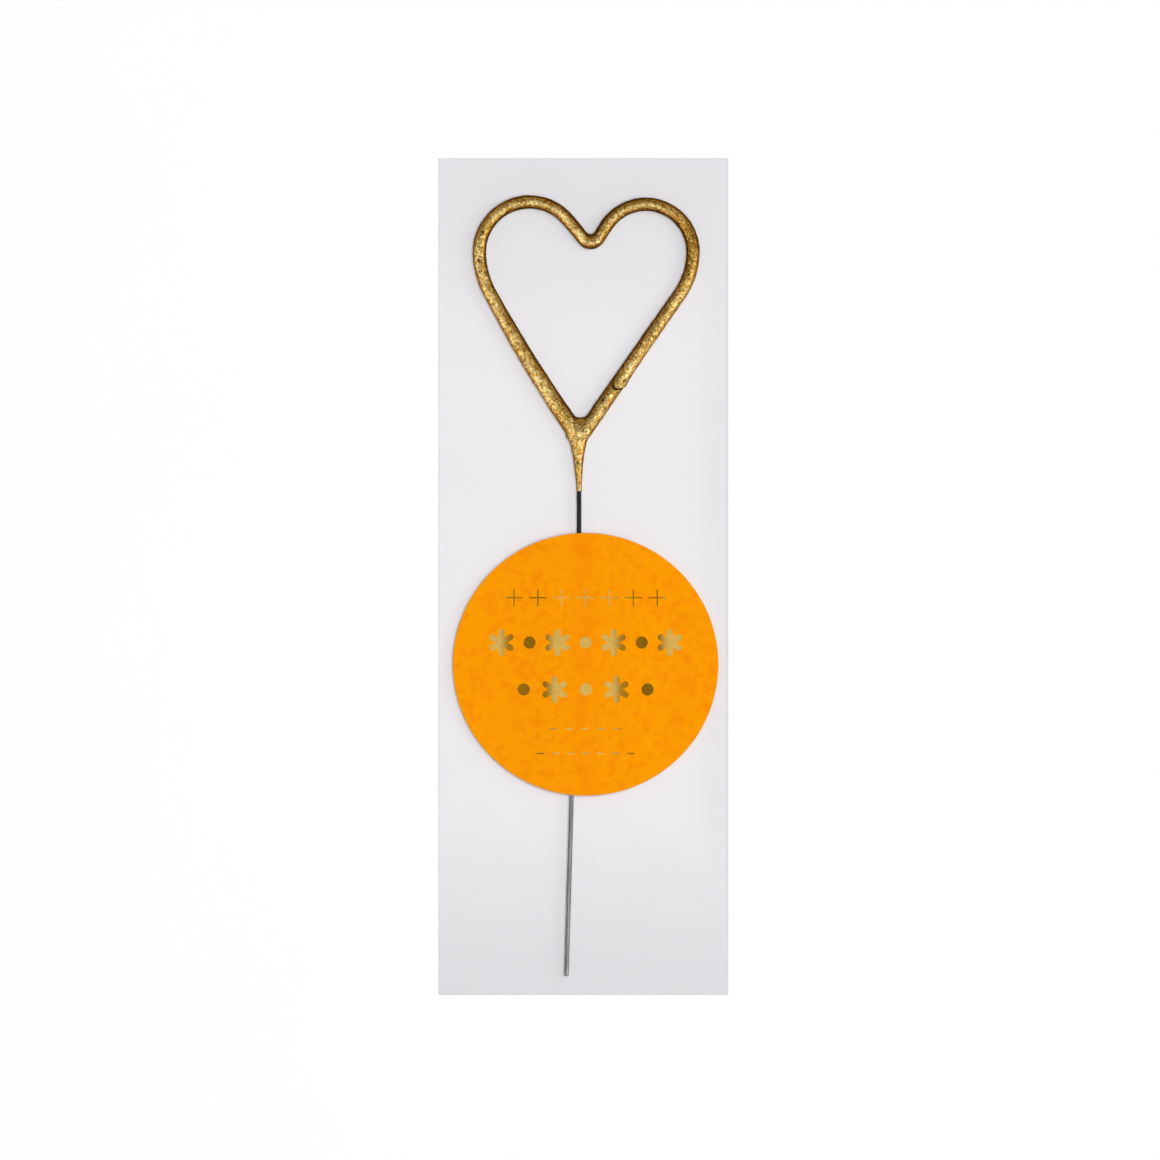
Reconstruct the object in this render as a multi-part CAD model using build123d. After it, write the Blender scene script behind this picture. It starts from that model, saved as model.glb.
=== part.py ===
from build123d import *
import math
import os

# Heart sparkler for a cake, tucked under a round paper label on a white backing card.
# The card lies on its back: +X across it, +Y along it towards the heart, +Z out of its face.
# The origin is the middle of the card's back. Lengths are millimetres, angles are degrees.

# Backing card
CARD_WIDTH = 69.2
CARD_LENGTH = 200.0
CARD_THICKNESS = 0.5

# Heart: the centre line of the wire, from the notch out over each lobe and down to the vee
NOTCH_X = 1.7
NOTCH_Y = 79.77
NOTCH_INNER_RADIUS = 0.42
LEFT_NOTCH_ANGLE = 50.4
LEFT_NOTCH_RUN = 6.03
LEFT_LOBE_RADIUS = 11.97
LEFT_FLANK_RADIUS = 20.3
LEFT_FLANK_TURN = 28.2
RIGHT_NOTCH_ANGLE = 56.5
RIGHT_NOTCH_RUN = 3.86
RIGHT_LOBE_RADIUS = 11.24
RIGHT_FLANK_RADIUS = 17.9
RIGHT_FLANK_TURN = 34.8
FOLD_X = -1.6
FOLD_Y = 34.0
WIRE_END_X = -0.2
WIRE_END_Y = 34.06

# Wire: one length of drawn steel, bent a little where it passes under the label's two edges
WIRE_DIAMETER = 1.1
FOLD_RADIUS = 2.7
UPPER_BEND_INSET = 2.9
UPPER_BEND_RADIUS = 200.0
UPPER_BEND_TURN = 1.8
LOWER_BEND_RADIUS = 1000.0
LOWER_BEND_TURN = 0.13
FREE_STEM_CLEARANCE = 0.1
FREE_STEM_LENGTH = 43.0

# Dipped coat: radii of the finished gold outside, the rounded web in the vee and the neck below it
LOBE_COAT_RADIUS = 1.58
LEFT_BASE_COAT_RADIUS = 2.13
RIGHT_BASE_COAT_RADIUS = 1.8
GOLD_THICKNESS = 0.15
GOLD_EDGE_THICKNESS = 0.07
MIXTURE_EDGE_THICKNESS = 0.02
GOLD_SKIRT = 1.2
WEB_HEIGHT = 1.0
WEB_TUCK = 0.15
WEB_RADIUS = 2.25
WEB_HALF_WIDTH = 1.55
WEB_HALF_DEPTH = 1.3
WEB_SWEEP = 110.0
SHOULDER_SHARE = 0.97
NECK_LENGTH = 14.0
NECK_SWELL = 1.4
NECK_SWELL_POWER = 1.6
NECK_FLARE_POWER = 5.0
NECK_DEPTH_POWER = 1.4
NECK_SECTIONS = 9

# Round label: a flat crown over the wire, a ramp on each side and flat wings on foam pads
LABEL_WIDTH = 63.4
LABEL_HEIGHT = 62.7
LABEL_THICKNESS = 0.4
LABEL_X = 0.45
LABEL_Y = -20.95
CROWN_X = 2.8
CROWN_WIDTH = 14.3
LEFT_RAMP_WIDTH = 15.5
RIGHT_RAMP_WIDTH = 10.8
PAD_THICKNESS = 2.0
PAD_WIDTH = 6.0
PAD_LENGTH = 26.0
PAD_CORNER_RADIUS = 1.0
PAD_INSET = 0.8

# Foil print on the label: two bold rows of sparks and dots between thin rows of twinkles and dashes
FOIL_THICKNESS = 0.05
SPARK_SIZE = 6.5
SPARK_STROKE = 1.45
SPARK_BARS = 3
DOT_DIAMETER = 2.9
TWINKLE_SIZE = 4.2
TWINKLE_STROKE = 0.32
TWINKLE_BARS = 2
DASH_LENGTH = 1.9
DASH_STROKE = 0.32
TWINKLE_ROW_Y = 15.9
TWINKLE_COUNT = 7
TWINKLE_PITCH = 5.7
FIRST_ROW_Y = 5.2
FIRST_ROW_COUNT = 7
FIRST_ROW_PITCH = 6.7
SECOND_ROW_Y = -6.0
SECOND_ROW_COUNT = 5
SECOND_ROW_PITCH = 7.4
THIRD_ROW_Y = -15.4
THIRD_ROW_COUNT = 5
THIRD_ROW_PITCH = 3.8
FOURTH_ROW_Y = -21.3
FOURTH_ROW_COUNT = 7
FOURTH_ROW_PITCH = 3.6

# Clearances
COAT_CLEARANCE = 0.15
CROWN_CLEARANCE = 0.15

# Heights and places that follow from the sizes above
wire_radius = WIRE_DIAMETER / 2
notch_radius = LOBE_COAT_RADIUS + NOTCH_INNER_RADIUS
widest_coat = max(LOBE_COAT_RADIUS, LEFT_BASE_COAT_RADIUS, RIGHT_BASE_COAT_RADIUS)
wire_z = CARD_THICKNESS + COAT_CLEARANCE + widest_coat
crown_z = wire_z + wire_radius + CROWN_CLEARANCE
wing_z = CARD_THICKNESS + PAD_THICKNESS
label_top_y = LABEL_Y + LABEL_HEIGHT / 2
label_bottom_y = LABEL_Y - LABEL_HEIGHT / 2


def heart_half(side, angle, run, lobe_radius, flank_radius, flank_turn, end):
    """Edges of half the heart, from the notch's lowest point to the vee; side is -1 left, 1 right."""
    notch = JernArc((NOTCH_X, NOTCH_Y), (side, 0), notch_radius, side * angle)
    rise = Line(notch @ 1, notch @ 1 + (notch % 1) * run)
    lobe = JernArc(rise @ 1, rise % 1, lobe_radius, -side * (angle + 90))
    flank = JernArc(lobe @ 1, lobe % 1, flank_radius, -side * flank_turn)
    arm = TangentArc(flank @ 1, end, tangent=flank % 1)
    return [notch, rise, lobe, flank, arm]


def fold_turn(arm):
    """Angle that the wire turns through at the fold, from the left arm to the upright stem."""
    return math.degrees(math.atan2((arm % 1).X, -(arm % 1).Y))


def stem_edges(arm):
    """Edges of the bare stem, from the end of the left arm round the fold and down to the tip."""
    fold = JernArc(arm @ 1, arm % 1, FOLD_RADIUS, -fold_turn(arm))
    upper = Line(fold @ 1, ((fold @ 1).X, label_top_y - UPPER_BEND_INSET))
    upper_bend = JernArc(upper @ 1, upper % 1, UPPER_BEND_RADIUS, -UPPER_BEND_TURN)
    lower_bend_length = LOWER_BEND_RADIUS * math.radians(LOWER_BEND_TURN)
    drop = (upper_bend @ 1).Y - (label_bottom_y - FREE_STEM_CLEARANCE)
    hidden_length = drop / math.cos(math.radians(UPPER_BEND_TURN)) - lower_bend_length
    hidden = Line(upper_bend @ 1, upper_bend @ 1 + (upper_bend % 1) * hidden_length)
    lower_bend = JernArc(hidden @ 1, hidden % 1, LOWER_BEND_RADIUS, LOWER_BEND_TURN)
    free = Line(lower_bend @ 1, lower_bend @ 1 + (lower_bend % 1) * FREE_STEM_LENGTH)
    return [fold, upper, upper_bend, hidden, lower_bend, free]


left_half = heart_half(
    -1, LEFT_NOTCH_ANGLE, LEFT_NOTCH_RUN, LEFT_LOBE_RADIUS, LEFT_FLANK_RADIUS, LEFT_FLANK_TURN,
    (FOLD_X, FOLD_Y),
)
right_half = heart_half(
    1, RIGHT_NOTCH_ANGLE, RIGHT_NOTCH_RUN, RIGHT_LOBE_RADIUS, RIGHT_FLANK_RADIUS, RIGHT_FLANK_TURN,
    (WIRE_END_X, WIRE_END_Y),
)
left_arm = left_half[-1]
right_arm = right_half[-1]
stem = stem_edges(left_arm)


def tube(edges, radius):
    """Round bar of one radius along a chain of edges."""
    path = Wire([Edge(edge.wrapped) for edge in edges])
    section = Plane(origin=path @ 0, z_dir=path % 0) * Circle(radius)
    return sweep(section, path=path)


def tapered_arm(arm, start_radius, end_radius):
    """Round arm along one edge whose radius grows evenly from its start to its end."""
    start = Plane(origin=arm @ 0, z_dir=arm % 0) * Circle(start_radius)
    end = Plane(origin=arm @ 1, z_dir=arm % 1) * Circle(end_radius)
    return sweep([start, end], path=arm, multisection=True)


def arm_reach(arm, coat_radius):
    """How far an arm's outer edge lies from the vee's middle at the height of the web."""
    lean = abs((arm % 1).X / (arm % 1).Y)
    return WEB_HEIGHT * lean + coat_radius * math.hypot(1, lean)


def oval(x, y, half_width, half_depth):
    """Upright oval section across the stem at height y along the card."""
    return Plane(origin=(x, y, 0), x_dir=(1, 0, 0), z_dir=(0, 1, 0)) * Ellipse(half_width, half_depth)


def web_middle():
    """Middle of the vee's round bottom, which lies one radius off the inner sides of both arms."""
    left_side = (left_arm % 1).rotate(Axis.Z, 90)
    right_side = (right_arm % 1).rotate(Axis.Z, -90)
    left_gap = (left_arm @ 1).dot(left_side) + LEFT_BASE_COAT_RADIUS + WEB_RADIUS
    right_gap = (right_arm @ 1).dot(right_side) + RIGHT_BASE_COAT_RADIUS + WEB_RADIUS
    spread = left_side.X * right_side.Y - left_side.Y * right_side.X
    x = (left_gap * right_side.Y - right_gap * left_side.Y) / spread
    y = (left_side.X * right_gap - right_side.X * left_gap) / spread
    return Vector(x, y)


def web(inset):
    """Bent bar that rounds the bottom of the vee from arm to arm."""
    middle = web_middle()
    start = math.radians(-90 - WEB_SWEEP / 2)
    outward = (math.cos(start), math.sin(start), 0)
    along = (math.sin(start), -math.cos(start), 0)
    section = Plane(origin=middle, x_dir=outward, z_dir=along) * (
        Pos(WEB_RADIUS + WEB_TUCK + WEB_HALF_WIDTH, 0) * Ellipse(WEB_HALF_WIDTH - inset, WEB_HALF_DEPTH - inset)
    )
    return revolve(section, axis=Axis(middle, (0, 0, 1)), revolution_arc=WEB_SWEEP)


def neck(inset, skirt, edge_thickness):
    """Neck of the coat: ovals that shrink from the foot of the arms to a thin edge on the bare wire."""
    vee = left_arm @ 1 + (left_arm % 1) * FOLD_RADIUS * math.tan(math.radians(fold_turn(left_arm) / 2))
    left_reach = arm_reach(left_arm, LEFT_BASE_COAT_RADIUS)
    right_reach = arm_reach(right_arm, RIGHT_BASE_COAT_RADIUS)
    web_x = vee.X + (right_reach - left_reach) / 2
    web_y = vee.Y + WEB_HEIGHT
    web_half_width = (left_reach + right_reach) / 2 - WEB_TUCK - inset
    web_half_depth = min(LEFT_BASE_COAT_RADIUS, RIGHT_BASE_COAT_RADIUS) - WEB_TUCK - inset
    end_radius = wire_radius + edge_thickness
    length = NECK_LENGTH - skirt
    swell = NECK_SWELL - inset
    flare = web_half_width - end_radius - swell
    sections = []
    for step in range(NECK_SECTIONS):
        share = step / (NECK_SECTIONS - 1)
        half_width = end_radius + swell * share**NECK_SWELL_POWER + flare * share**NECK_FLARE_POWER
        half_depth = end_radius + (web_half_depth - end_radius) * share**NECK_DEPTH_POWER
        middle_x = vee.X + (web_x - vee.X) * share
        sections.append(oval(middle_x, web_y - length * (1 - share), half_width, half_depth))
    return loft(sections)


def shoulder(arm, coat_radius):
    """Ball that rounds off the end of an arm inside the web."""
    return Pos(arm @ 1) * Sphere(SHOULDER_SHARE * coat_radius)


def coat(inset, skirt, edge_thickness):
    """Solid heart of the dipped coat, taken in by inset all over and by skirt at the neck's end."""
    lobes = left_half[3::-1] + right_half[:4]
    return (
        tube(lobes, LOBE_COAT_RADIUS - inset)
        + tapered_arm(left_arm, LOBE_COAT_RADIUS - inset, LEFT_BASE_COAT_RADIUS - inset)
        + tapered_arm(right_arm, LOBE_COAT_RADIUS - inset, RIGHT_BASE_COAT_RADIUS - inset)
        + shoulder(left_arm, LEFT_BASE_COAT_RADIUS - inset)
        + shoulder(right_arm, RIGHT_BASE_COAT_RADIUS - inset)
        + web(inset)
        + neck(inset, skirt, edge_thickness)
    )


def label_layer(lift, thickness):
    """Sheet that follows the label's arch, lift above the label's underside."""
    crown_left = CROWN_X - CROWN_WIDTH / 2
    crown_right = CROWN_X + CROWN_WIDTH / 2
    ramp_left = crown_left - LEFT_RAMP_WIDTH
    ramp_right = crown_right + RIGHT_RAMP_WIDTH
    low = wing_z + lift
    high = crown_z + lift
    reach = LABEL_WIDTH + CROWN_WIDTH + LEFT_RAMP_WIDTH + RIGHT_RAMP_WIDTH
    edge_left = CROWN_X - reach
    edge_right = CROWN_X + reach
    left_mid = (crown_left + ramp_left) / 2
    right_mid = (crown_right + ramp_right) / 2
    under = Curve() + [
        Line((edge_left, low), (ramp_left, low)),
        Bezier((ramp_left, low), (left_mid, low), (left_mid, high), (crown_left, high)),
        Line((crown_left, high), (crown_right, high)),
        Bezier((crown_right, high), (right_mid, high), (right_mid, low), (ramp_right, low)),
        Line((ramp_right, low), (edge_right, low)),
    ]
    over = Pos(0, thickness) * under
    ends = [
        Line((edge_left, low), (edge_left, low + thickness)),
        Line((edge_right, low), (edge_right, low + thickness)),
    ]
    profile = make_face(under + over + ends)
    return Pos(0, LABEL_Y, 0) * extrude(Plane.XZ * profile, amount=LABEL_HEIGHT, both=True)


def label_disc():
    """Round label cut from the arched sheet."""
    outline = Pos(LABEL_X, LABEL_Y, 0) * Ellipse(LABEL_WIDTH / 2, LABEL_HEIGHT / 2)
    return label_layer(0, LABEL_THICKNESS) & extrude(outline, amount=crown_z + 2 * LABEL_THICKNESS)


def spark(size, stroke, bars):
    """Flat spark mark: crossed bars with rays all round."""
    mark = Sketch()
    for index in range(bars):
        mark += Rot(0, 0, 90 + 180 * index / bars) * SlotOverall(size, stroke)
    return mark


def row_places(count, pitch, y):
    """Places of a row of marks, centred across the label."""
    return [Pos(LABEL_X + (index - (count - 1) / 2) * pitch, LABEL_Y + y) for index in range(count)]


def foil_marks():
    """All marks of the print, flat, in their places on the label."""
    bold = [spark(SPARK_SIZE, SPARK_STROKE, SPARK_BARS), Circle(DOT_DIAMETER / 2)]
    twinkle = spark(TWINKLE_SIZE, TWINKLE_STROKE, TWINKLE_BARS)
    dash = SlotOverall(DASH_LENGTH, DASH_STROKE)
    marks = [place * twinkle for place in row_places(TWINKLE_COUNT, TWINKLE_PITCH, TWINKLE_ROW_Y)]
    for count, pitch, y, first in [
        (FIRST_ROW_COUNT, FIRST_ROW_PITCH, FIRST_ROW_Y, 0),
        (SECOND_ROW_COUNT, SECOND_ROW_PITCH, SECOND_ROW_Y, 1),
    ]:
        for index, place in enumerate(row_places(count, pitch, y)):
            marks.append(place * bold[(index + first) % 2])
    for count, pitch, y in [
        (THIRD_ROW_COUNT, THIRD_ROW_PITCH, THIRD_ROW_Y),
        (FOURTH_ROW_COUNT, FOURTH_ROW_PITCH, FOURTH_ROW_Y),
    ]:
        marks += [place * dash for place in row_places(count, pitch, y)]
    return marks


def label_foil():
    """Thin foil marks lying on the label's arched face, one solid each."""
    layer = label_layer(LABEL_THICKNESS, FOIL_THICKNESS)
    height = crown_z + LABEL_THICKNESS + 2 * FOIL_THICKNESS
    solids = []
    for mark in foil_marks():
        solids += (layer & extrude(mark, amount=height)).solids()
    return Compound(solids)


def foam_pad(x):
    """Foam strip between the card and one wing of the label, centred at x."""
    outline = RectangleRounded(PAD_WIDTH, PAD_LENGTH, PAD_CORNER_RADIUS)
    return Pos(x, LABEL_Y, CARD_THICKNESS) * extrude(outline, amount=PAD_THICKNESS)


card = Pos(0, 0, CARD_THICKNESS / 2) * Box(CARD_WIDTH, CARD_LENGTH, CARD_THICKNESS)
wire = tube(stem[::-1] + left_half[::-1] + right_half, wire_radius)
filled_mixture = coat(GOLD_THICKNESS, GOLD_SKIRT, MIXTURE_EDGE_THICKNESS)
gold = coat(0, 0, GOLD_EDGE_THICKNESS) - filled_mixture - wire
mixture = filled_mixture - wire
to_wire_height = Pos(0, 0, wire_z)
pad_offset = PAD_INSET + PAD_WIDTH / 2

nodes = {
    "backing_card": card,
    "label_disc": label_disc(),
    "label_foil": label_foil(),
    "foam_pad_left": foam_pad(CROWN_X - CROWN_WIDTH / 2 - LEFT_RAMP_WIDTH - pad_offset),
    "foam_pad_right": foam_pad(CROWN_X + CROWN_WIDTH / 2 + RIGHT_RAMP_WIDTH + pad_offset),
    "core_wire": to_wire_height * wire,
    "spark_composition": to_wire_height * mixture,
    "gold_coat": to_wire_height * gold,
}

os.makedirs("parts", exist_ok=True)
for name, shape in nodes.items():
    export_step(shape, f"parts/{name}.step")
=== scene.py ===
"""Looks of a heart-shaped cake sparkler that a round paper label holds on a white card.

Lengths are metres in the part's frame: +X across the card, +Y along it towards the heart and +Z out
of its face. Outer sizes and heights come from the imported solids. The wire's bends, the label's arch
and the foil's rows repeat the sizes that those solids were made with.
"""
import logging
import math
import random
from abc import ABC, abstractmethod
from collections.abc import Callable
from dataclasses import dataclass, field
from enum import Enum
from functools import reduce

import bpy
import numpy as np
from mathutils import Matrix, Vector, noise
from mathutils.kdtree import KDTree


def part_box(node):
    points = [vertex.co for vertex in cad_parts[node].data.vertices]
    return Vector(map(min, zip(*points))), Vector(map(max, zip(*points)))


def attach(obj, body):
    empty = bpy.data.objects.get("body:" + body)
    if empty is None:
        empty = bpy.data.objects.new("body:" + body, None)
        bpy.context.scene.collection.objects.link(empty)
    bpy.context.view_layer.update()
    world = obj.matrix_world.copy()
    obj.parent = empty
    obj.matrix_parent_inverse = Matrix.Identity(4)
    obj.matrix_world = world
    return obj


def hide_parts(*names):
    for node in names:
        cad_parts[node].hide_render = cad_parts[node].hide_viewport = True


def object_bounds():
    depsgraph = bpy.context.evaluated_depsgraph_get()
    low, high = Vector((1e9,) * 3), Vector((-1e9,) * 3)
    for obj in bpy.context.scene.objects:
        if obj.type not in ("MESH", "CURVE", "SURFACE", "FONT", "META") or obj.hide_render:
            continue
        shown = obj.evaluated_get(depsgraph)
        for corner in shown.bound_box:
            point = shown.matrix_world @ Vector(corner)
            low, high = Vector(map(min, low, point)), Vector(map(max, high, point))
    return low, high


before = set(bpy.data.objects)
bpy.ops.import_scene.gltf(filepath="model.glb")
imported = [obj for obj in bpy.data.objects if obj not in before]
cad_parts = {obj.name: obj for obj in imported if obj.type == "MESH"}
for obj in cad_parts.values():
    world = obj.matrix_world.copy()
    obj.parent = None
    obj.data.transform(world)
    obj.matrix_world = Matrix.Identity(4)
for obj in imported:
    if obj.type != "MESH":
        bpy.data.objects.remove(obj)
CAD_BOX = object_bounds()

LOG = logging.getLogger("sparkler")
MM = 0.001
PLAIN_WHITE = (1.0, 1.0, 1.0, 1.0)
CORNER_POINTS = 7

Colour = tuple[float, float, float, float]
Stops = tuple[tuple[float, Colour], ...]
Pair = tuple[float, float]
Place = tuple[float, float, float]
Surface = Callable[[np.ndarray, np.ndarray], np.ndarray]
Socket = bpy.types.NodeSocket


class Body(Enum):
    """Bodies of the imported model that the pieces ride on."""

    CARD = "card"
    SPARKLER = "sparkler"


class Slot(Enum):
    """Material slots of the record, which no piece here uses."""

    BOARD = "white_board"
    LABEL = "orange_paper"
    FOIL = "gold_foil"
    PAD = "pad_foam"
    WIRE = "wire_steel"
    MIXTURE = "spark_mix"
    GOLD = "gold_paint"


class Side(Enum):
    """Halves of the heart, with the sign of their X direction from the notch."""

    LEFT = -1
    RIGHT = 1


class Mark(Enum):
    """Kinds of foil mark printed on the label, with how many rays each has."""

    SPARK = 6
    TWINKLE = 4
    DASH = 2
    DOT = 0


class Reach(Enum):
    """Surfaces that a studio lamp is hung for."""

    MATT = "matt"
    GLOSS = "gloss"


class Nodes:
    """Node tree, with short calls for the nodes that the finishes and the room share."""

    def __init__(self, tree: bpy.types.NodeTree) -> None:
        """Takes the tree that the nodes go in."""
        self.tree = tree

    def feed(self, socket: Socket, value: object) -> None:
        """Gives a socket its value.

        Args:
            socket: the socket.
            value: another socket, which is linked to it, or a number or colour, which is set.
        """
        if isinstance(value, bpy.types.NodeSocket):
            self.tree.links.new(value, socket)
        else:
            socket.default_value = value

    def add(self, kind: str, inputs: dict | None = None, **options: object) -> bpy.types.Node:
        """Adds a node and sets or links its inputs.

        Args:
            kind: Blender's name for the kind of node.
            inputs: values or sockets, by the name or number of the input that they go to.
            options: the node's own settings.

        Returns:
            The new node.
        """
        node = self.tree.nodes.new(kind)
        for option, value in options.items():
            setattr(node, option, value)
        for key, value in (inputs or {}).items():
            self.feed(node.inputs[key], value)
        return node

    def maths(self, operation: str, first: object, second: object = 0.0) -> Socket:
        """Result of one sum on two values."""
        return self.add("ShaderNodeMath", {0: first, 1: second}, operation=operation).outputs[0]

    def vector(self, operation: str, first: object, second: object = (0.0, 0.0, 0.0)) -> Socket:
        """Result of one sum on two directions, which is a number for a product or a distance."""
        outputs = self.add("ShaderNodeVectorMath", {0: first, 1: second}, operation=operation).outputs
        return outputs["Value" if operation in ("DOT_PRODUCT", "DISTANCE") else "Vector"]

    def step(self, value: Socket, low: float, high: float) -> Socket:
        """Smooth step from 0, where value is low, to 1, where it is high."""
        inputs = {"Value": value, "From Min": low, "From Max": high}
        return self.add("ShaderNodeMapRange", inputs, interpolation_type="SMOOTHSTEP").outputs["Result"]


class Shader(Nodes):
    """Node tree of one material, with short calls for its textures, colours and surface."""

    def __init__(self, name: str) -> None:
        """Starts a material with a plain surface.

        Args:
            name: name of the material.
        """
        self.material = bpy.data.materials.new(name)
        self.material.use_nodes = True
        super().__init__(self.material.node_tree)
        self.surface = self.tree.nodes["Principled BSDF"]
        coordinates = self.add("ShaderNodeTexCoord").outputs
        self.place = coordinates["Object"]
        self.facing = coordinates["Normal"]

    def dress(self, **inputs: object) -> None:
        """Sets or links inputs of the surface, named with underscores for spaces."""
        for key, value in inputs.items():
            self.feed(self.surface.inputs[key.replace("_", " ")], value)

    def stretched(self, size: Place) -> Socket:
        """Texture space whose unit measures size along X, Y and Z."""
        scale = tuple(1 / length for length in size)
        return self.add("ShaderNodeMapping", {"Vector": self.place, "Scale": scale}).outputs["Vector"]

    def grain(self, size: float | Place, detail: float = 2.0) -> Socket:
        """Noise between 0 and 1.

        Args:
            size: length of its lumps, the same all round or along X, Y and Z.
            detail: how many finer layers lie over it.

        Returns:
            The noise value.
        """
        if isinstance(size, tuple):
            inputs = {"Vector": self.stretched(size), "Scale": 1.0, "Detail": detail}
        else:
            inputs = {"Vector": self.place, "Scale": 1 / size, "Detail": detail}
        return self.add("ShaderNodeTexNoise", inputs).outputs["Fac"]

    def cells(self, size: float) -> bpy.types.Node:
        """Cells of one size, each with a random colour, and the distance to its middle."""
        return self.add("ShaderNodeTexVoronoi", {"Vector": self.place, "Scale": 1 / size})

    def ramp(self, share: Socket, stops: Stops) -> Socket:
        """Colour that runs through stops as share goes from 0 to 1.

        Args:
            share: the value that picks the colour.
            stops: places from 0 to 1, in order, with their colours.

        Returns:
            The colour.
        """
        node = self.add("ShaderNodeValToRGB", {"Fac": share})
        elements = node.color_ramp.elements
        while len(elements) < len(stops):
            elements.new(1.0)
        for element, (place, colour) in zip(elements, stops):
            element.position = place
            element.color = colour
        return node.outputs["Color"]

    def mix(self, share: Socket, first: object, second: object) -> Socket:
        """Colour that goes from first to second as share goes from 0 to 1."""
        inputs = {0: share, 6: first, 7: second}
        return self.add("ShaderNodeMix", inputs, data_type="RGBA").outputs[2]

    def axis(self, name: str) -> Socket:
        """Coordinate of the surface along one axis of the part's frame."""
        return self.add("ShaderNodeSeparateXYZ", {0: self.place}).outputs[name]

    def near(self, point: Place, reach: float) -> Socket:
        """Share that is 1 at a point and falls to 0 at the end of its reach."""
        return self.step(self.vector("DISTANCE", self.place, point), reach, 0.0)

    def bump(self, height: Socket, depth: float) -> Socket:
        """Surface normal over a height map that goes from 0 to 1 and is depth metres deep."""
        inputs = {"Height": height, "Distance": depth, "Strength": 1.0}
        return self.add("ShaderNodeBump", inputs).outputs["Normal"]


@dataclass(frozen=True)
class Finish(ABC):
    """A surface finish that makes its material once.

    Attributes:
        name: name of the material.
    """

    name: str

    def material(self) -> bpy.types.Material:
        """Makes the material of this finish when it is first asked for.

        Returns:
            The material.
        """
        made = bpy.data.materials.get(self.name)
        if made is None:
            shader = Shader(self.name)
            self.paint(shader)
            made = shader.material
        return made

    @abstractmethod
    def paint(self, shader: Shader) -> None:
        """Lays the finish's nodes out in shader."""


@dataclass(frozen=True)
class WhiteBoard(Finish):
    """Smooth white card board with a faint tooth and cloudy pulp, and painted shade that greys it a little
    towards its ends and its right side.

    Attributes:
        pale: colour of most of the board.
        dull: colour of its cloudier patches.
        shade_grey: colour of the painted shade at the ends and the right side.
        foot_fade: Y where the painted shade starts towards the board's foot, and where it is greyest.
        head_fade: the same towards its head, where the painted shade is fainter.
        side_fade: X where the painted shade starts towards its right side, and where it is greyest there.
        rim: X where the painted shade along the right side's cut edge starts, and where it is greyest.
        fade_share: how far the head and the right side are shaded, as shares of the foot.
        cloud: size of the patches.
        tooth: size of the surface grain.
        tooth_depth: depth of the grain.
    """

    name: str = "white_card_board"
    pale: Colour = (0.868, 0.864, 0.888, 1.0)
    dull: Colour = (0.836, 0.83, 0.858, 1.0)
    shade_grey: Colour = (0.735, 0.733, 0.76, 1.0)
    foot_fade: Pair = (-50 * MM, -104 * MM)
    head_fade: Pair = (45 * MM, 100 * MM)
    side_fade: Pair = (22 * MM, 34.6 * MM)
    rim: Pair = (33.6 * MM, 34.4 * MM)
    fade_share: Pair = (0.6, 0.4)
    cloud: float = 14 * MM
    tooth: float = 0.35 * MM
    tooth_depth: float = 0.006 * MM

    def paint(self, shader: Shader) -> None:
        """Lays out the board's clouds, the painted shade at its ends and right side, and its tooth.

        Args:
            shader: the shader that the nodes go in.
        """
        cloud = shader.grain(self.cloud, 4.0)
        tooth = shader.grain(self.tooth, 3.0)
        along, across = shader.axis("Y"), shader.axis("X")
        # painted shade: the board greys towards its foot, its head and its right side, and most along its
        # right edge
        painted_shade = shader.step(along, *self.foot_fade)
        for shade_grey in (
            shader.maths("MULTIPLY", shader.step(along, *self.head_fade), self.fade_share[0]),
            shader.maths("MULTIPLY", shader.step(across, *self.side_fade), self.fade_share[1]),
            shader.step(across, *self.rim),
        ):
            painted_shade = shader.maths("MAXIMUM", painted_shade, shade_grey)
        board = shader.mix(cloud, self.pale, self.dull)
        shader.dress(
            Base_Color=shader.mix(painted_shade, board, self.shade_grey),
            Roughness=0.62,
            Specular_IOR_Level=0.3,
            Normal=shader.bump(tooth, self.tooth_depth),
        )


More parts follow.
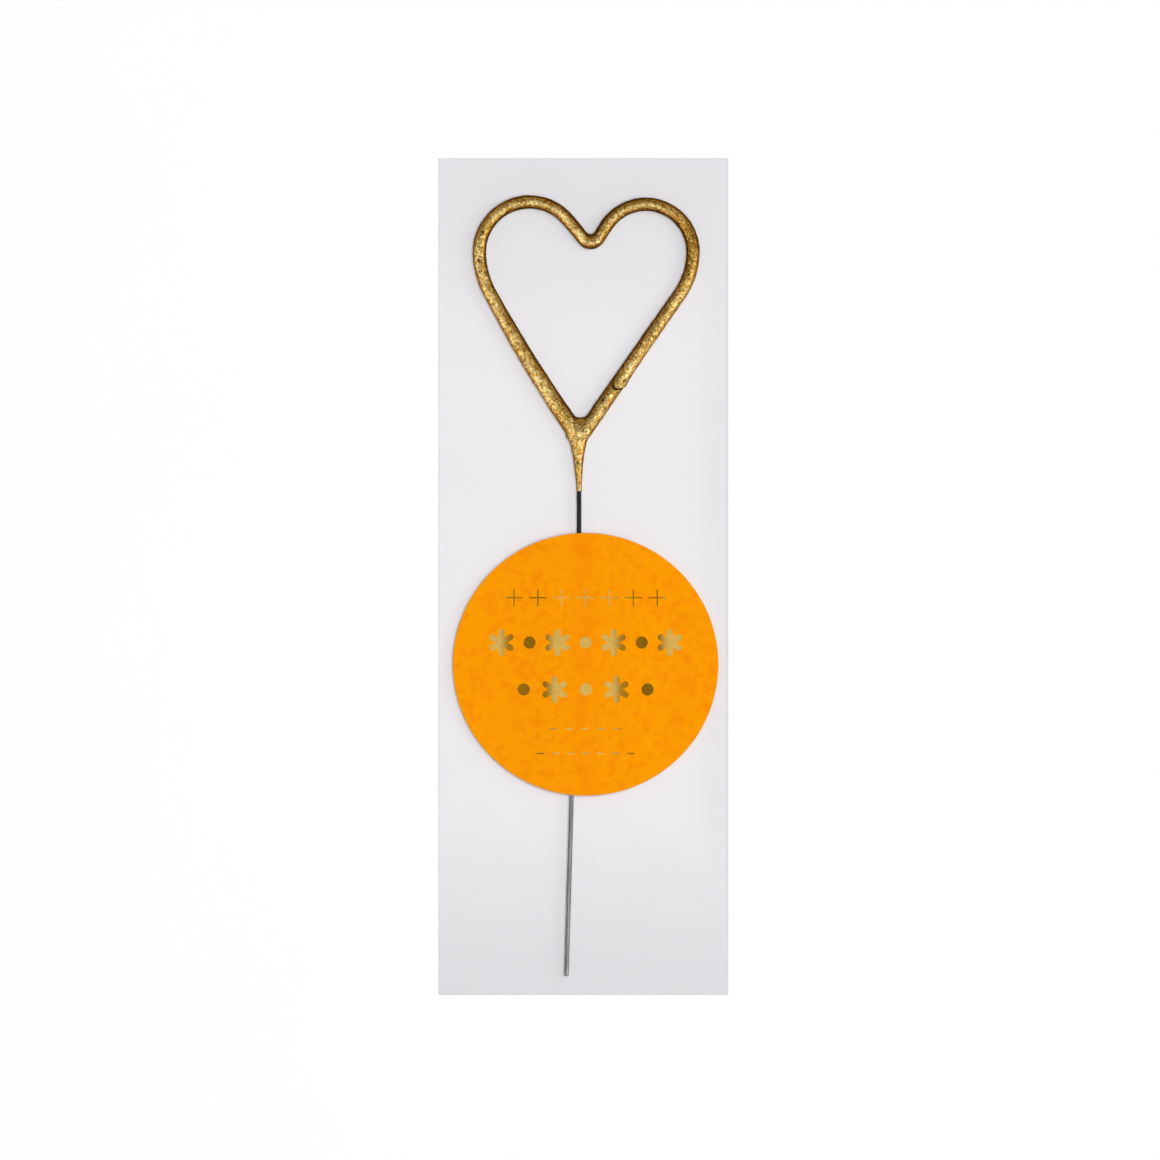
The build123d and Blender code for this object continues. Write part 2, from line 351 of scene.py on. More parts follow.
@dataclass(frozen=True)
class OrangePaper(Finish):
    """Dyed uncoated paper: mottled, flecked with fibres and deeper orange in a broken upright band near its
    middle.

    Attributes:
        orange: colour of the dyed paper.
        deep: colour of its darker mottling and of the band along the arch.
        fleck: colour of the darkest fibres.
        band_middle: X of the deeper band.
        band_half_width: reach of the band to each side.
        band_shares: how deep the band is between its patches, and how much deeper in them.
        patch: size of the patches that break the band up.
        patch_range: values of their noise where a patch starts and where it is full.
        mottle: size of the mottling.
        mottle_range: values of its noise where the mottling starts and where it is full.
        mottle_share: how deep the mottling is.
        fibre: width and length of a fibre.
        fleck_range: values of the fibres' noise where a dark fleck starts and where it is full.
        tooth: size of the paper's grain.
        tooth_depth: depth of the grain.
    """

    name: str = "orange_label_paper"
    orange: Colour = (0.99, 0.335, 0.0008, 1.0)
    deep: Colour = (0.95, 0.26, 0.002, 1.0)
    fleck: Colour = (0.78, 0.17, 0.004, 1.0)
    band_middle: float = -0.4 * MM
    band_half_width: float = 5.5 * MM
    band_shares: Pair = (0.2, 0.7)
    patch: float = 4.4 * MM
    patch_range: Pair = (0.36, 0.66)
    mottle: float = 2.0 * MM
    mottle_range: Pair = (0.42, 0.72)
    mottle_share: float = 0.85
    fibre: Pair = (0.16 * MM, 1.3 * MM)
    fleck_range: Pair = (0.66, 0.86)
    tooth: float = 0.22 * MM
    tooth_depth: float = 0.012 * MM

    def paint(self, shader: Shader) -> None:
        """Lays out the mottling, the fibres, the band and the tooth.

        Args:
            shader: the shader that the nodes go in.
        """
        width, length = self.fibre
        mottle = shader.step(shader.grain(self.mottle, 5.0), *self.mottle_range)
        upright = shader.grain((width, length, width), 2.0)
        level = shader.grain((length, width, width), 2.0)
        fibres = shader.maths("MAXIMUM", upright, level)
        offset = shader.maths("ABSOLUTE", shader.maths("SUBTRACT", shader.axis("X"), self.band_middle))
        band = shader.step(offset, self.band_half_width, 0.0)
        patches = shader.step(shader.grain(self.patch, 4.0), *self.patch_range)
        broken = shader.maths("MULTIPLY", patches, self.band_shares[1])
        uneven = shader.maths("MULTIPLY", band, shader.maths("ADD", broken, self.band_shares[0]))
        depth = shader.maths("MAXIMUM", shader.maths("MULTIPLY", mottle, self.mottle_share), uneven)
        dyed = shader.mix(depth, self.orange, self.deep)
        flecked = shader.mix(shader.step(fibres, *self.fleck_range), dyed, self.fleck)
        tooth = shader.maths("ADD", fibres, shader.grain(self.tooth, 3.0))
        shader.dress(
            Base_Color=flecked,
            Roughness=0.8,
            Specular_IOR_Level=0.01,
            Normal=shader.bump(tooth, self.tooth_depth),
        )


@dataclass(frozen=True)
class FoilGold(Finish):
    """Hot-pressed gold foil: a mirror film that the paper's tooth ruffles, with a painted dark reflection
    beside the crown.

    Attributes:
        gold: colour of the foil.
        rubbed: colour where the press left little foil.
        dark_reflection: colour of the painted dark reflection.
        patch: size of the patches where the press left little foil.
        patch_range: values of their noise where a patch starts and where it is thinnest.
        dark_reflection_from: distance from the label's middle where the painted dark reflection starts, and
            where it is full.
        dark_reflection_until: distance from the label's middle where the painted dark reflection ends, and
            where it is gone.
        tooth: size of the paper's grain under the foil.
        tooth_depth: depth of that grain.
    """

    name: str = "pressed_gold_foil"
    gold: Colour = (0.57, 0.36, 0.088, 1.0)
    rubbed: Colour = (0.52, 0.3, 0.05, 1.0)
    dark_reflection: Colour = (0.316, 0.146, 0.008, 1.0)
    patch: float = 0.9 * MM
    patch_range: Pair = (0.45, 0.75)
    dark_reflection_from: Pair = (6.5 * MM, 9.5 * MM)
    dark_reflection_until: Pair = (17.5 * MM, 20.5 * MM)
    tooth: float = 0.3 * MM
    tooth_depth: float = 0.004 * MM

    def paint(self, shader: Shader) -> None:
        """Lays out the foil's rubbed patches, its painted dark reflection and the ruffle.

        Args:
            shader: the shader that the nodes go in.
        """
        thin_foil_and_flank_shade = shader.step(shader.grain(self.patch, 4.0), *self.patch_range)
        tooth = shader.grain(self.tooth, 2.0)
        # painted dark reflection: the foil darkens in a band on each side of the crown
        away = shader.maths("ABSOLUTE", shader.axis("X"))
        inner, outer = shader.step(away, *self.dark_reflection_from), shader.step(away, *self.dark_reflection_until)
        dark_reflection_share = shader.maths("SUBTRACT", inner, outer)
        shader.dress(
            Base_Color=shader.mix(dark_reflection_share, shader.mix(thin_foil_and_flank_shade, self.gold, self.rubbed), self.dark_reflection),
            Metallic=1.0,
            Roughness=0.38,
            Normal=shader.bump(tooth, self.tooth_depth),
        )


@dataclass(frozen=True)
class PadFoam(Finish):
    """White closed-cell foam between two films.

    Attributes:
        foam: colour of the foam.
        shade: colour inside its open cells.
        cell: size of a cell.
        shade_range: distance from a cell's middle, in cells, where its shade starts and where it is full.
        cell_depth: depth of the cells.
    """

    name: str = "white_pad_foam"
    foam: Colour = (0.86, 0.86, 0.84, 1.0)
    shade: Colour = (0.66, 0.66, 0.64, 1.0)
    cell: float = 0.22 * MM
    shade_range: Pair = (0.5, 0.1)
    cell_depth: float = 0.05 * MM

    def paint(self, shader: Shader) -> None:
        """Lays out the foam's cells.

        Args:
            shader: the shader that the nodes go in.
        """
        cells = shader.cells(self.cell).outputs["Distance"]
        shader.dress(
            Base_Color=shader.mix(shader.step(cells, *self.shade_range), self.foam, self.shade),
            Roughness=0.85,
            Normal=shader.bump(cells, self.cell_depth),
        )


@dataclass(frozen=True)
class DrawnWire(Finish):
    """Drawn steel wire, black with scale near the heart and worn bright towards its tip.

    Attributes:
        scale: colour of the black scale.
        steel: colour of the worn steel.
        streak: colour of the bright drawing lines.
        black_above: Y above which the scale is whole.
        bright_below: Y below which it is worn away.
        line: width and length of a drawing line.
        line_range: values of the lines' noise where a bright line starts and where it is full.
        line_depth: depth of the lines.
        speck: size of the dark specks.
        speck_range: values of their noise where a speck starts and where it is full.
    """

    name: str = "drawn_steel_wire"
    scale: Colour = (0.025, 0.025, 0.027, 1.0)
    steel: Colour = (0.135, 0.135, 0.14, 1.0)
    streak: Colour = (0.42, 0.42, 0.42, 1.0)
    black_above: float = 6 * MM
    bright_below: float = -40 * MM
    line: Pair = (0.07 * MM, 9 * MM)
    line_range: Pair = (0.42, 0.68)
    line_depth: float = 0.012 * MM
    speck: float = 0.35 * MM
    speck_range: Pair = (0.62, 0.75)

    def paint(self, shader: Shader) -> None:
        """Lays out the wear, the drawing lines and a few rust-dark specks.

        Args:
            shader: the shader that the nodes go in.
        """
        width, length = self.line
        lines = shader.grain((width, length, width), 3.0)
        specks = shader.step(shader.grain(self.speck, 3.0), *self.speck_range)
        worn = shader.step(shader.axis("Y"), self.black_above, self.bright_below)
        bare = shader.mix(shader.step(lines, *self.line_range), self.steel, self.streak)
        metal = shader.mix(worn, self.scale, bare)
        shader.dress(
            Base_Color=shader.mix(specks, metal, self.scale),
            Metallic=0.9,
            Roughness=0.42,
            Normal=shader.bump(lines, self.line_depth),
        )


@dataclass(frozen=True)
class SparkMixture(Finish):
    """Grey gritty spark mixture, seen only where the gold skin is cut or chipped.

    Attributes:
        ash: colour of the dried paste.
        filing: colour of the metal filings in it.
        grit: size of the grit.
        filing_range: values of the grit's noise where a filing starts and where it is full.
        grit_depth: depth of the grit.
    """

    name: str = "grey_spark_mixture"
    ash: Colour = (0.17, 0.16, 0.15, 1.0)
    filing: Colour = (0.42, 0.41, 0.39, 1.0)
    grit: float = 0.3 * MM
    filing_range: Pair = (0.55, 0.75)
    grit_depth: float = 0.06 * MM

    def paint(self, shader: Shader) -> None:
        """Lays out the grit and its filings.

        Args:
            shader: the shader that the nodes go in.
        """
        grit = shader.grain(self.grit, 4.0)
        shader.dress(
            Base_Color=shader.mix(shader.step(grit, *self.filing_range), self.ash, self.filing),
            Roughness=0.8,
            Normal=shader.bump(grit, self.grit_depth),
        )


@dataclass(frozen=True)
class GoldGlitter(Finish):
    """Gold bronze paint over a gritty dip: small tilted flakes, painted light and shade on the flanks, and
    painted shade in the notch and in the dark pits.

    Attributes:
        full: tones and colours of the flakes, from dull to pale, where no shade is painted.
        thin_foil_and_flank_shade: the same as painted shade, on flanks that face away from the painted
            light.
        pit: colour of the painted shade in the pits and the lip's crease, where the mesh's recess_shade
            value is high.
        rim: colour of the darkest painted shade, low on the flanks.
        edge: tint of what the flakes mirror at a grazing angle.
        flake_share: how much a flake's own shade counts in its tone.
        cloud_share: how much the clouds that it lies in count.
        clouds: sizes of the small and the broad clouds.
        dull: middle of a patch of painted shade on the right lobe.
        patch_shade_reach: radius of that patch.
        patch_shade_share: how much tone the painted shade takes in its middle.
        middle: middle of the heart, which the painted light and shade on the flanks is laid out from.
        side_light: how much painted light flanks get that face out of the heart, and that face up the card.
        side_light_start: how much of that painted light is too little to show.
        top_shade: how much painted shade darkens flanks that face up the card.
        inner_shade: how much painted shade darkens flanks that face the middle of the heart.
        notch: middle of the notch between the lobes, where more shade is painted.
        notch_shade_reach: how far from there that extra shade reaches.
        notch_shade: how much the painted shade on up-facing flanks grows in the notch.
        flank_shade_range: lit share at which the painted shade starts and at which it is darkest.
        ragged: how much further a pale flake's lit share reaches than a dull one's.
        rim_shade_range: lit share at which the rim's painted shade starts and at which it is darkest.
        rim_shade_most: how much of the rim's colour shows there.
        flake: size of a flake.
        tilt: how far a flake's face turns from the surface.
        grit: size of the grit under the paint.
        grit_depth: depth of that grit.
    """

    name: str = "gold_glitter_skin"
    full: Stops = (
        (0.28, (0.36, 0.17, 0.02, 1.0)),
        (0.56, (0.64, 0.415, 0.1, 1.0)),
        (0.9, (0.93, 0.79, 0.4, 1.0)),
    )
    thin_foil_and_flank_shade: Stops = ((0.3, (0.24, 0.09, 0.006, 1.0)), (0.8, (0.78, 0.36, 0.05, 1.0)))
    pit: Colour = (0.05, 0.018, 0.003, 1.0)
    rim: Colour = (0.06, 0.026, 0.004, 1.0)
    edge: Colour = (0.16, 0.08, 0.02, 1.0)
    flake_share: float = 0.4
    cloud_share: float = 0.4
    clouds: Pair = (0.65 * MM, 7 * MM)
    dull: Place = (27.5 * MM, 79 * MM, 2.78 * MM)
    patch_shade_reach: float = 14 * MM
    patch_shade_share: float = 0.25
    middle: Place = (1 * MM, 65 * MM, 2.78 * MM)
    side_light: Pair = (0.62, -0.42)
    side_light_start: float = 0.45
    top_shade: float = 0.42
    inner_shade: float = 0.3
    notch: Place = (1.5 * MM, 84 * MM, 2.78 * MM)
    notch_shade_reach: float = 16 * MM
    notch_shade: float = 0.55
    flank_shade_range: Pair = (1.25, 0.75)
    ragged: float = 0.4
    rim_shade_range: Pair = (0.74, 0.2)
    rim_shade_most: float = 0.9
    flake: float = 0.34 * MM
    tilt: float = 0.36
    grit: float = 0.55 * MM
    grit_depth: float = 0.03 * MM

    def lit_share(self, shader: Shader) -> Socket:
        """Painted light and shade of the coat: full on front and back, lighter on flanks that face out of
        the heart, darker on flanks that face up the card and the middle of the heart, and darker still in
        the notch.

        Args:
            shader: the shader that the nodes go in.

        Returns:
            The lit share, about 1 where no shade is painted.
        """
        # painted light and shade by facing: front and back full, out-facing flanks lighter, up-facing and
        # in-facing flanks darker
        _, up, front = shader.add("ShaderNodeSeparateXYZ", {0: shader.facing}).outputs
        ray = shader.vector("NORMALIZE", shader.vector("SUBTRACT", shader.place, self.middle))
        outward = shader.vector("DOT_PRODUCT", ray, shader.facing)
        sideways = shader.maths("MULTIPLY", outward, self.side_light[0])
        towards = shader.maths("ADD", sideways, shader.maths("MULTIPLY", up, self.side_light[1]))
        side_lit = shader.maths("MAXIMUM", shader.maths("SUBTRACT", towards, self.side_light_start), 0.0)
        notch_shade_amount = shader.maths("MULTIPLY", shader.near(self.notch, self.notch_shade_reach), self.notch_shade)
        top_shade = shader.maths("ADD", notch_shade_amount, self.top_shade)
        upper = shader.maths("MULTIPLY", shader.maths("MAXIMUM", up, 0.0), top_shade)
        facing_shade = shader.maths("MAXIMUM", upper, shader.maths("MULTIPLY", outward, -self.inner_shade))
        front_lit = shader.maths("SUBTRACT", shader.maths("ABSOLUTE", front), facing_shade)
        return shader.maths("ADD", front_lit, side_lit)

    def tone(self, shader: Shader, shade: Socket) -> Socket:
        """How pale the paint is, from 0 to about 1, less in the patch of painted shade on the right lobe.

        Args:
            shader: the shader that the nodes go in.
            shade: random shade of each flake.

        Returns:
            The tone.
        """
        small, broad = self.clouds
        cloud = shader.maths("ADD", shader.grain(small, 3.0), shader.grain(broad, 1.0))
        clouded = shader.maths("MULTIPLY", cloud, self.cloud_share)
        even = shader.maths("ADD", shader.maths("MULTIPLY", shade, self.flake_share), clouded)
        # painted shade: a patch on the right lobe is darker
        patch_shade = shader.maths("MULTIPLY", shader.near(self.dull, self.patch_shade_reach), self.patch_shade_share)
        return shader.maths("SUBTRACT", even, patch_shade)

    def paint(self, shader: Shader) -> None:
        """Lays out the flakes, their painted light and shade, the grit under them and the painted shade in
        the pits.

        Args:
            shader: the shader that the nodes go in.
        """
        flakes = shader.cells(self.flake).outputs["Color"]
        shade = shader.add("ShaderNodeSeparateColor", {0: flakes}).outputs[0]
        tone, lit_share = self.tone(shader, shade), self.lit_share(shader)
        # painted shade on flanks that face away from the painted light, darkest low on the flanks
        ragged_lit_share = shader.maths("ADD", lit_share, shader.maths("MULTIPLY", shade, self.ragged))
        flank_shade = shader.step(ragged_lit_share, *self.flank_shade_range)
        painted = shader.mix(flank_shade, shader.ramp(tone, self.full), shader.ramp(tone, self.thin_foil_and_flank_shade))
        bare = shader.maths("MULTIPLY", shader.step(lit_share, *self.rim_shade_range), self.rim_shade_most)
        # painted shade in the pits and the lip's crease, from the mesh's value
        recess_shade = shader.add("ShaderNodeAttribute", attribute_name="recess_shade").outputs["Fac"]
        lean = shader.vector("SUBTRACT", flakes, (0.5, 0.5, 0.5))
        swing = shader.vector("MULTIPLY", lean, (self.tilt, self.tilt, self.tilt))
        grit = shader.bump(shader.grain(self.grit, 4.0), self.grit_depth)
        shader.dress(
            Base_Color=shader.mix(recess_shade, shader.mix(bare, painted, self.rim), self.pit),
            Metallic=1.0,
            Roughness=0.47,
            Specular_Tint=self.edge,
            Normal=shader.vector("NORMALIZE", shader.vector("ADD", grit, swing)),
        )


@dataclass(frozen=True)
class StudioFloor(Finish):
    """White table top that keeps the card's soft shadow.

    Attributes:
        white: colour of the table.
        faint: colour of its faint clouds.
        cloud: size of the clouds.
        lift: light added where the camera or a mirror sees it, so that it shows as white.
    """

    name: str = "white_table_top"
    white: Colour = (0.86, 0.86, 0.86, 1.0)
    faint: Colour = (0.8471, 0.8471, 0.8471, 1.0)
    cloud: float = 60 * MM
    lift: float = 0.17

    def paint(self, shader: Shader) -> None:
        """Lays out the table top and its lift.

        Args:
            shader: the shader that the nodes go in.
        """
        rays = shader.add("ShaderNodeLightPath").outputs
        mirrors = shader.maths("MAXIMUM", rays["Is Glossy Ray"], rays["Is Transmission Ray"])
        seen = shader.maths("MAXIMUM", rays["Is Camera Ray"], mirrors)
        shader.dress(
            Base_Color=shader.mix(shader.grain(self.cloud), self.white, self.faint),
            Roughness=0.9,
            Specular_IOR_Level=0.0,
            Emission_Color=PLAIN_WHITE,
            Emission_Strength=shader.maths("MULTIPLY", seen, self.lift),
        )


@dataclass
class Shell:
    """Closed surface made of rings of points.

    Attributes:
        points: places of the points, one row each.
        faces: numbers of the points round each face.
    """

    points: np.ndarray
    faces: list[tuple[int, ...]]

    @classmethod
    def loft(cls, rings: list[np.ndarray]) -> "Shell":
        """Joins rings of equally many points and closes both ends.

        Args:
            rings: rings in order; seen from the last ring, each runs clockwise.

        Returns:
            The closed shell.
        """
        count = len(rings[0])
        ends = [rings[0].mean(axis=0, keepdims=True), rings[-1].mean(axis=0, keepdims=True)]
        points = np.concatenate(rings + ends)
        first = len(rings) * count
        following = [(index + 1) % count for index in range(count)]
        faces = [(first, here, there) for here, there in enumerate(following)]
        for ring in range(len(rings) - 1):
            low = ring * count
            high = low + count
            faces += [(low + a, high + a, high + b, low + b) for a, b in enumerate(following)]
        last = (len(rings) - 1) * count
        faces += [(first + 1, last + there, last + here) for here, there in enumerate(following)]
        return cls(points, faces)

    @classmethod
    def plate(cls, outline: np.ndarray, rings: int, under: Surface, over: Surface, edge: float) -> "Shell":
        """Sheet between two height surfaces, with a slightly rounded rim.

        Args:
            outline: points round the sheet, each in plain sight of its middle.
            rings: how many rings of faces lie between middle and rim.
            under: height of the underside at a place.
            over: height of the upper face at a place.
            edge: radius of the rim's rounding.

        Returns:
            The closed sheet.
        """
        middle = outline.mean(axis=0)
        arms = outline - middle
        reach = np.linalg.norm(arms, axis=1, keepdims=True)
        shares = [np.full_like(reach, index / rings) for index in range(1, rings)]
        shares += [1 - 3 * edge / reach, 1 - edge / reach]
        flat = [middle + arms * share for share in shares]
        upper = [cls.raised(ring, over(*ring.T)) for ring in flat]
        lower = [cls.raised(ring, under(*ring.T)) for ring in reversed(flat)]
        rim = [cls.raised(outline, over(*outline.T) - edge), cls.raised(outline, under(*outline.T) + edge)]
        return cls.loft(upper + rim + lower)

    @staticmethod
    def raised(ring: np.ndarray, heights: np.ndarray) -> np.ndarray:
        """Flat ring with a height given to each of its points."""
        return np.column_stack([ring, heights])

    def joined(self, other: "Shell") -> "Shell":
        """Puts this shell and another together.

        Args:
            other: the other shell.

        Returns:
            Both as one shell.
        """
        start = len(self.points)
        moved = [tuple(number + start for number in face) for face in other.faces]
        return Shell(np.concatenate([self.points, other.points]), self.faces + moved)

    def mesh(self, name: str) -> bpy.types.Mesh:
        """Makes a smoothly shaded Blender mesh of this shell.

        Args:
            name: name of the mesh.

        Returns:
            The mesh.
        """
        mesh = bpy.data.meshes.new(name)
        mesh.from_pydata(self.points.tolist(), [], self.faces)
        mesh.shade_smooth()
        return mesh


def place_piece(
    mesh: bpy.types.Mesh, finish: Finish, body: Body, node: str
) -> bpy.types.Object:
    """Puts a finished mesh on its body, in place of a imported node.

    Args:
        mesh: the mesh, in the part's frame.
        finish: its finish.
        body: the body that it rides on.
        node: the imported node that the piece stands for.

    Returns:
        The piece.
    """
    mesh.materials.append(finish.material())
    piece = bpy.data.objects.new(mesh.name, mesh)
    bpy.context.scene.collection.objects.link(piece)
    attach(piece, body.value)
    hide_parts(node)
    LOG.info("%s rides on %s: %d points", piece.name, body.value, len(mesh.vertices))
    return piece


def read_rows(items: bpy.types.bpy_prop_collection, name: str, width: int, kind: type = float) -> np.ndarray:
    """Reads one property of a mesh's points or edges.

    Args:
        items: the points or edges.
        name: name of the property.
        width: how many values each of them has.
        kind: type of the values.

    Returns:
        The values, one row for each of them.
    """
    values = np.zeros(len(items) * width, dtype=kind)
    items.foreach_get(name, values)
    return values.reshape(-1, width)


def circle(count: int) -> np.ndarray:
    """Angles of points spread evenly round a circle."""
    return np.linspace(0, math.tau, count, endpoint=False)


def ellipse(middle: Pair, width: float, height: float, count: int) -> np.ndarray:
    """Points round an ellipse, anticlockwise from its right-hand end."""
    angles = circle(count)
    return np.column_stack([middle[0] + width / 2 * np.cos(angles), middle[1] + height / 2 * np.sin(angles)])


def rounded_rectangle(low: Vector, high: Vector, radius: float, spacing: float) -> np.ndarray:
    """Points round a rectangle with round corners, anticlockwise.

    Args:
        low: lowest corner of its box.
        high: highest corner of its box.
        radius: radius of its corners.
        spacing: longest step between points on its sides.

    Returns:
        The points, one row each.
    """
    corners = []
    turns = np.linspace(0, math.pi / 2, CORNER_POINTS)
    for index, (x, y) in enumerate([(high.x, high.y), (low.x, high.y), (low.x, low.y), (high.x, low.y)]):
        inward = np.array([radius if x == low.x else -radius, radius if y == low.y else -radius])
        angles = turns + index * math.pi / 2
        arc = np.array([x, y]) + inward + radius * np.column_stack([np.cos(angles), np.sin(angles)])
        corners.append(arc)
    points = []
    for index, corner in enumerate(corners):
        points += list(corner)
        following = corners[(index + 1) % len(corners)][0]
        count = max(1, math.ceil(np.linalg.norm(following - corner[-1]) / spacing))
        points += [corner[-1] + (following - corner[-1]) * step / count for step in range(1, count)]
    return np.array(points)


@dataclass
class Track:
    """Flat centre line, drawn forward from a start.

    Attributes:
        x: X of its end so far.
        y: Y of its end so far.
        heading: direction at its end, in radians from +X.
        step: longest step between samples.
        samples: places and headings along it so far.
    """

    x: float
    y: float
    heading: float
    step: float = 0.25 * MM
    samples: list[tuple[float, float, float]] = field(default_factory=list)

    def __post_init__(self) -> None:
        """Records the start."""
        self.samples.append((self.x, self.y, self.heading))

    def run(self, length: float) -> None:
        """Goes straight on.

        Args:
            length: how far.
        """
        count = max(1, math.ceil(length / self.step))
        along = (math.cos(self.heading), math.sin(self.heading))
        for _ in range(count):
            self.x += along[0] * length / count
            self.y += along[1] * length / count
            self.samples.append((self.x, self.y, self.heading))

    def arc(self, radius: float, turn: float) -> None:
        """Goes round an arc.

        Args:
            radius: radius of the arc.
            turn: angle that it goes through in radians, to the left where it is positive.
        """
        hand = math.copysign(1, turn)
        middle_x = self.x - hand * radius * math.sin(self.heading)
        middle_y = self.y + hand * radius * math.cos(self.heading)
        count = max(3, math.ceil(radius * abs(turn) / self.step))
        for _ in range(count):
            self.heading += turn / count
            self.x = middle_x + hand * radius * math.sin(self.heading)
            self.y = middle_y - hand * radius * math.cos(self.heading)
            self.samples.append((self.x, self.y, self.heading))

    def arc_to(self, x: float, y: float) -> None:
        """Goes round the one arc that leads smoothly to a place."""
        swing = math.remainder(math.atan2(y - self.y, x - self.x) - self.heading, math.tau)
        self.arc(math.hypot(x - self.x, y - self.y) / 2 / math.sin(abs(swing)), 2 * swing)

    def trail(self) -> np.ndarray:
        """Samples as rows of X, Y and heading."""
        return np.array(self.samples)


def turned(trail: np.ndarray) -> np.ndarray:
    """The same trail, walked the other way."""
    return trail[::-1] + np.array([0, 0, math.pi])


def tube(trail: np.ndarray, radii: np.ndarray, height: float, sides: int) -> list[np.ndarray]:
    """Rings of a round bar along a trail.

    Args:
        trail: rows of X, Y and heading.
        radii: radius at each row.
        height: height of the trail above the part's origin.
        sides: points in a ring.

    Returns:
        One ring for each row of the trail.
    """
    angles = circle(sides)
    rings = []
    for (x, y, heading), radius in zip(trail, radii):
        across = radius * np.cos(angles)
        rise = -radius * np.sin(angles)
        ring = [x - across * math.sin(heading), y + across * math.cos(heading), height + rise]
        rings.append(np.column_stack(ring))
    return rings


@dataclass(frozen=True)
class HeartHalf:
    """Bends of one half of the heart, from the notch over its lobe and down its arm.

    Attributes:
        side: which half it is.
        notch_angle: slope at which it leaves the notch, in degrees.
        notch_run: straight length after the notch.
        lobe_radius: radius of the lobe.
        flank_radius: radius below the lobe.
        flank_turn: angle that the flank turns through, in degrees.
        end: place of the arm's end.
    """

    side: Side
    notch_angle: float
    notch_run: float
    lobe_radius: float
    flank_radius: float
    flank_turn: float
    end: Pair

    def lobe(self, notch: Pair, notch_radius: float) -> Track:
        """Draws the notch's side and the lobe, from the notch's lowest point to the start of the arm.

        Args:
            notch: place of the notch's lowest point.
            notch_radius: radius of the bend there.

        Returns:
            The track, with its end at the start of the arm.
        """
        hand = self.side.value
        track = Track(*notch, 0.0 if self.side is Side.RIGHT else math.pi)
        track.arc(notch_radius, hand * math.radians(self.notch_angle))
        track.run(self.notch_run)
        track.arc(self.lobe_radius, -hand * math.radians(self.notch_angle + 90))
        track.arc(self.flank_radius, -hand * math.radians(self.flank_turn))
        return track

    def arm(self, lobe: Track) -> Track:
        """Draws the arm, from the end of the lobe to the arm's end.

        Args:
            lobe: track of the lobe.

        Returns:
            The arm's track.
        """
        track = Track(lobe.x, lobe.y, lobe.heading)
        track.arc_to(*self.end)
        return track


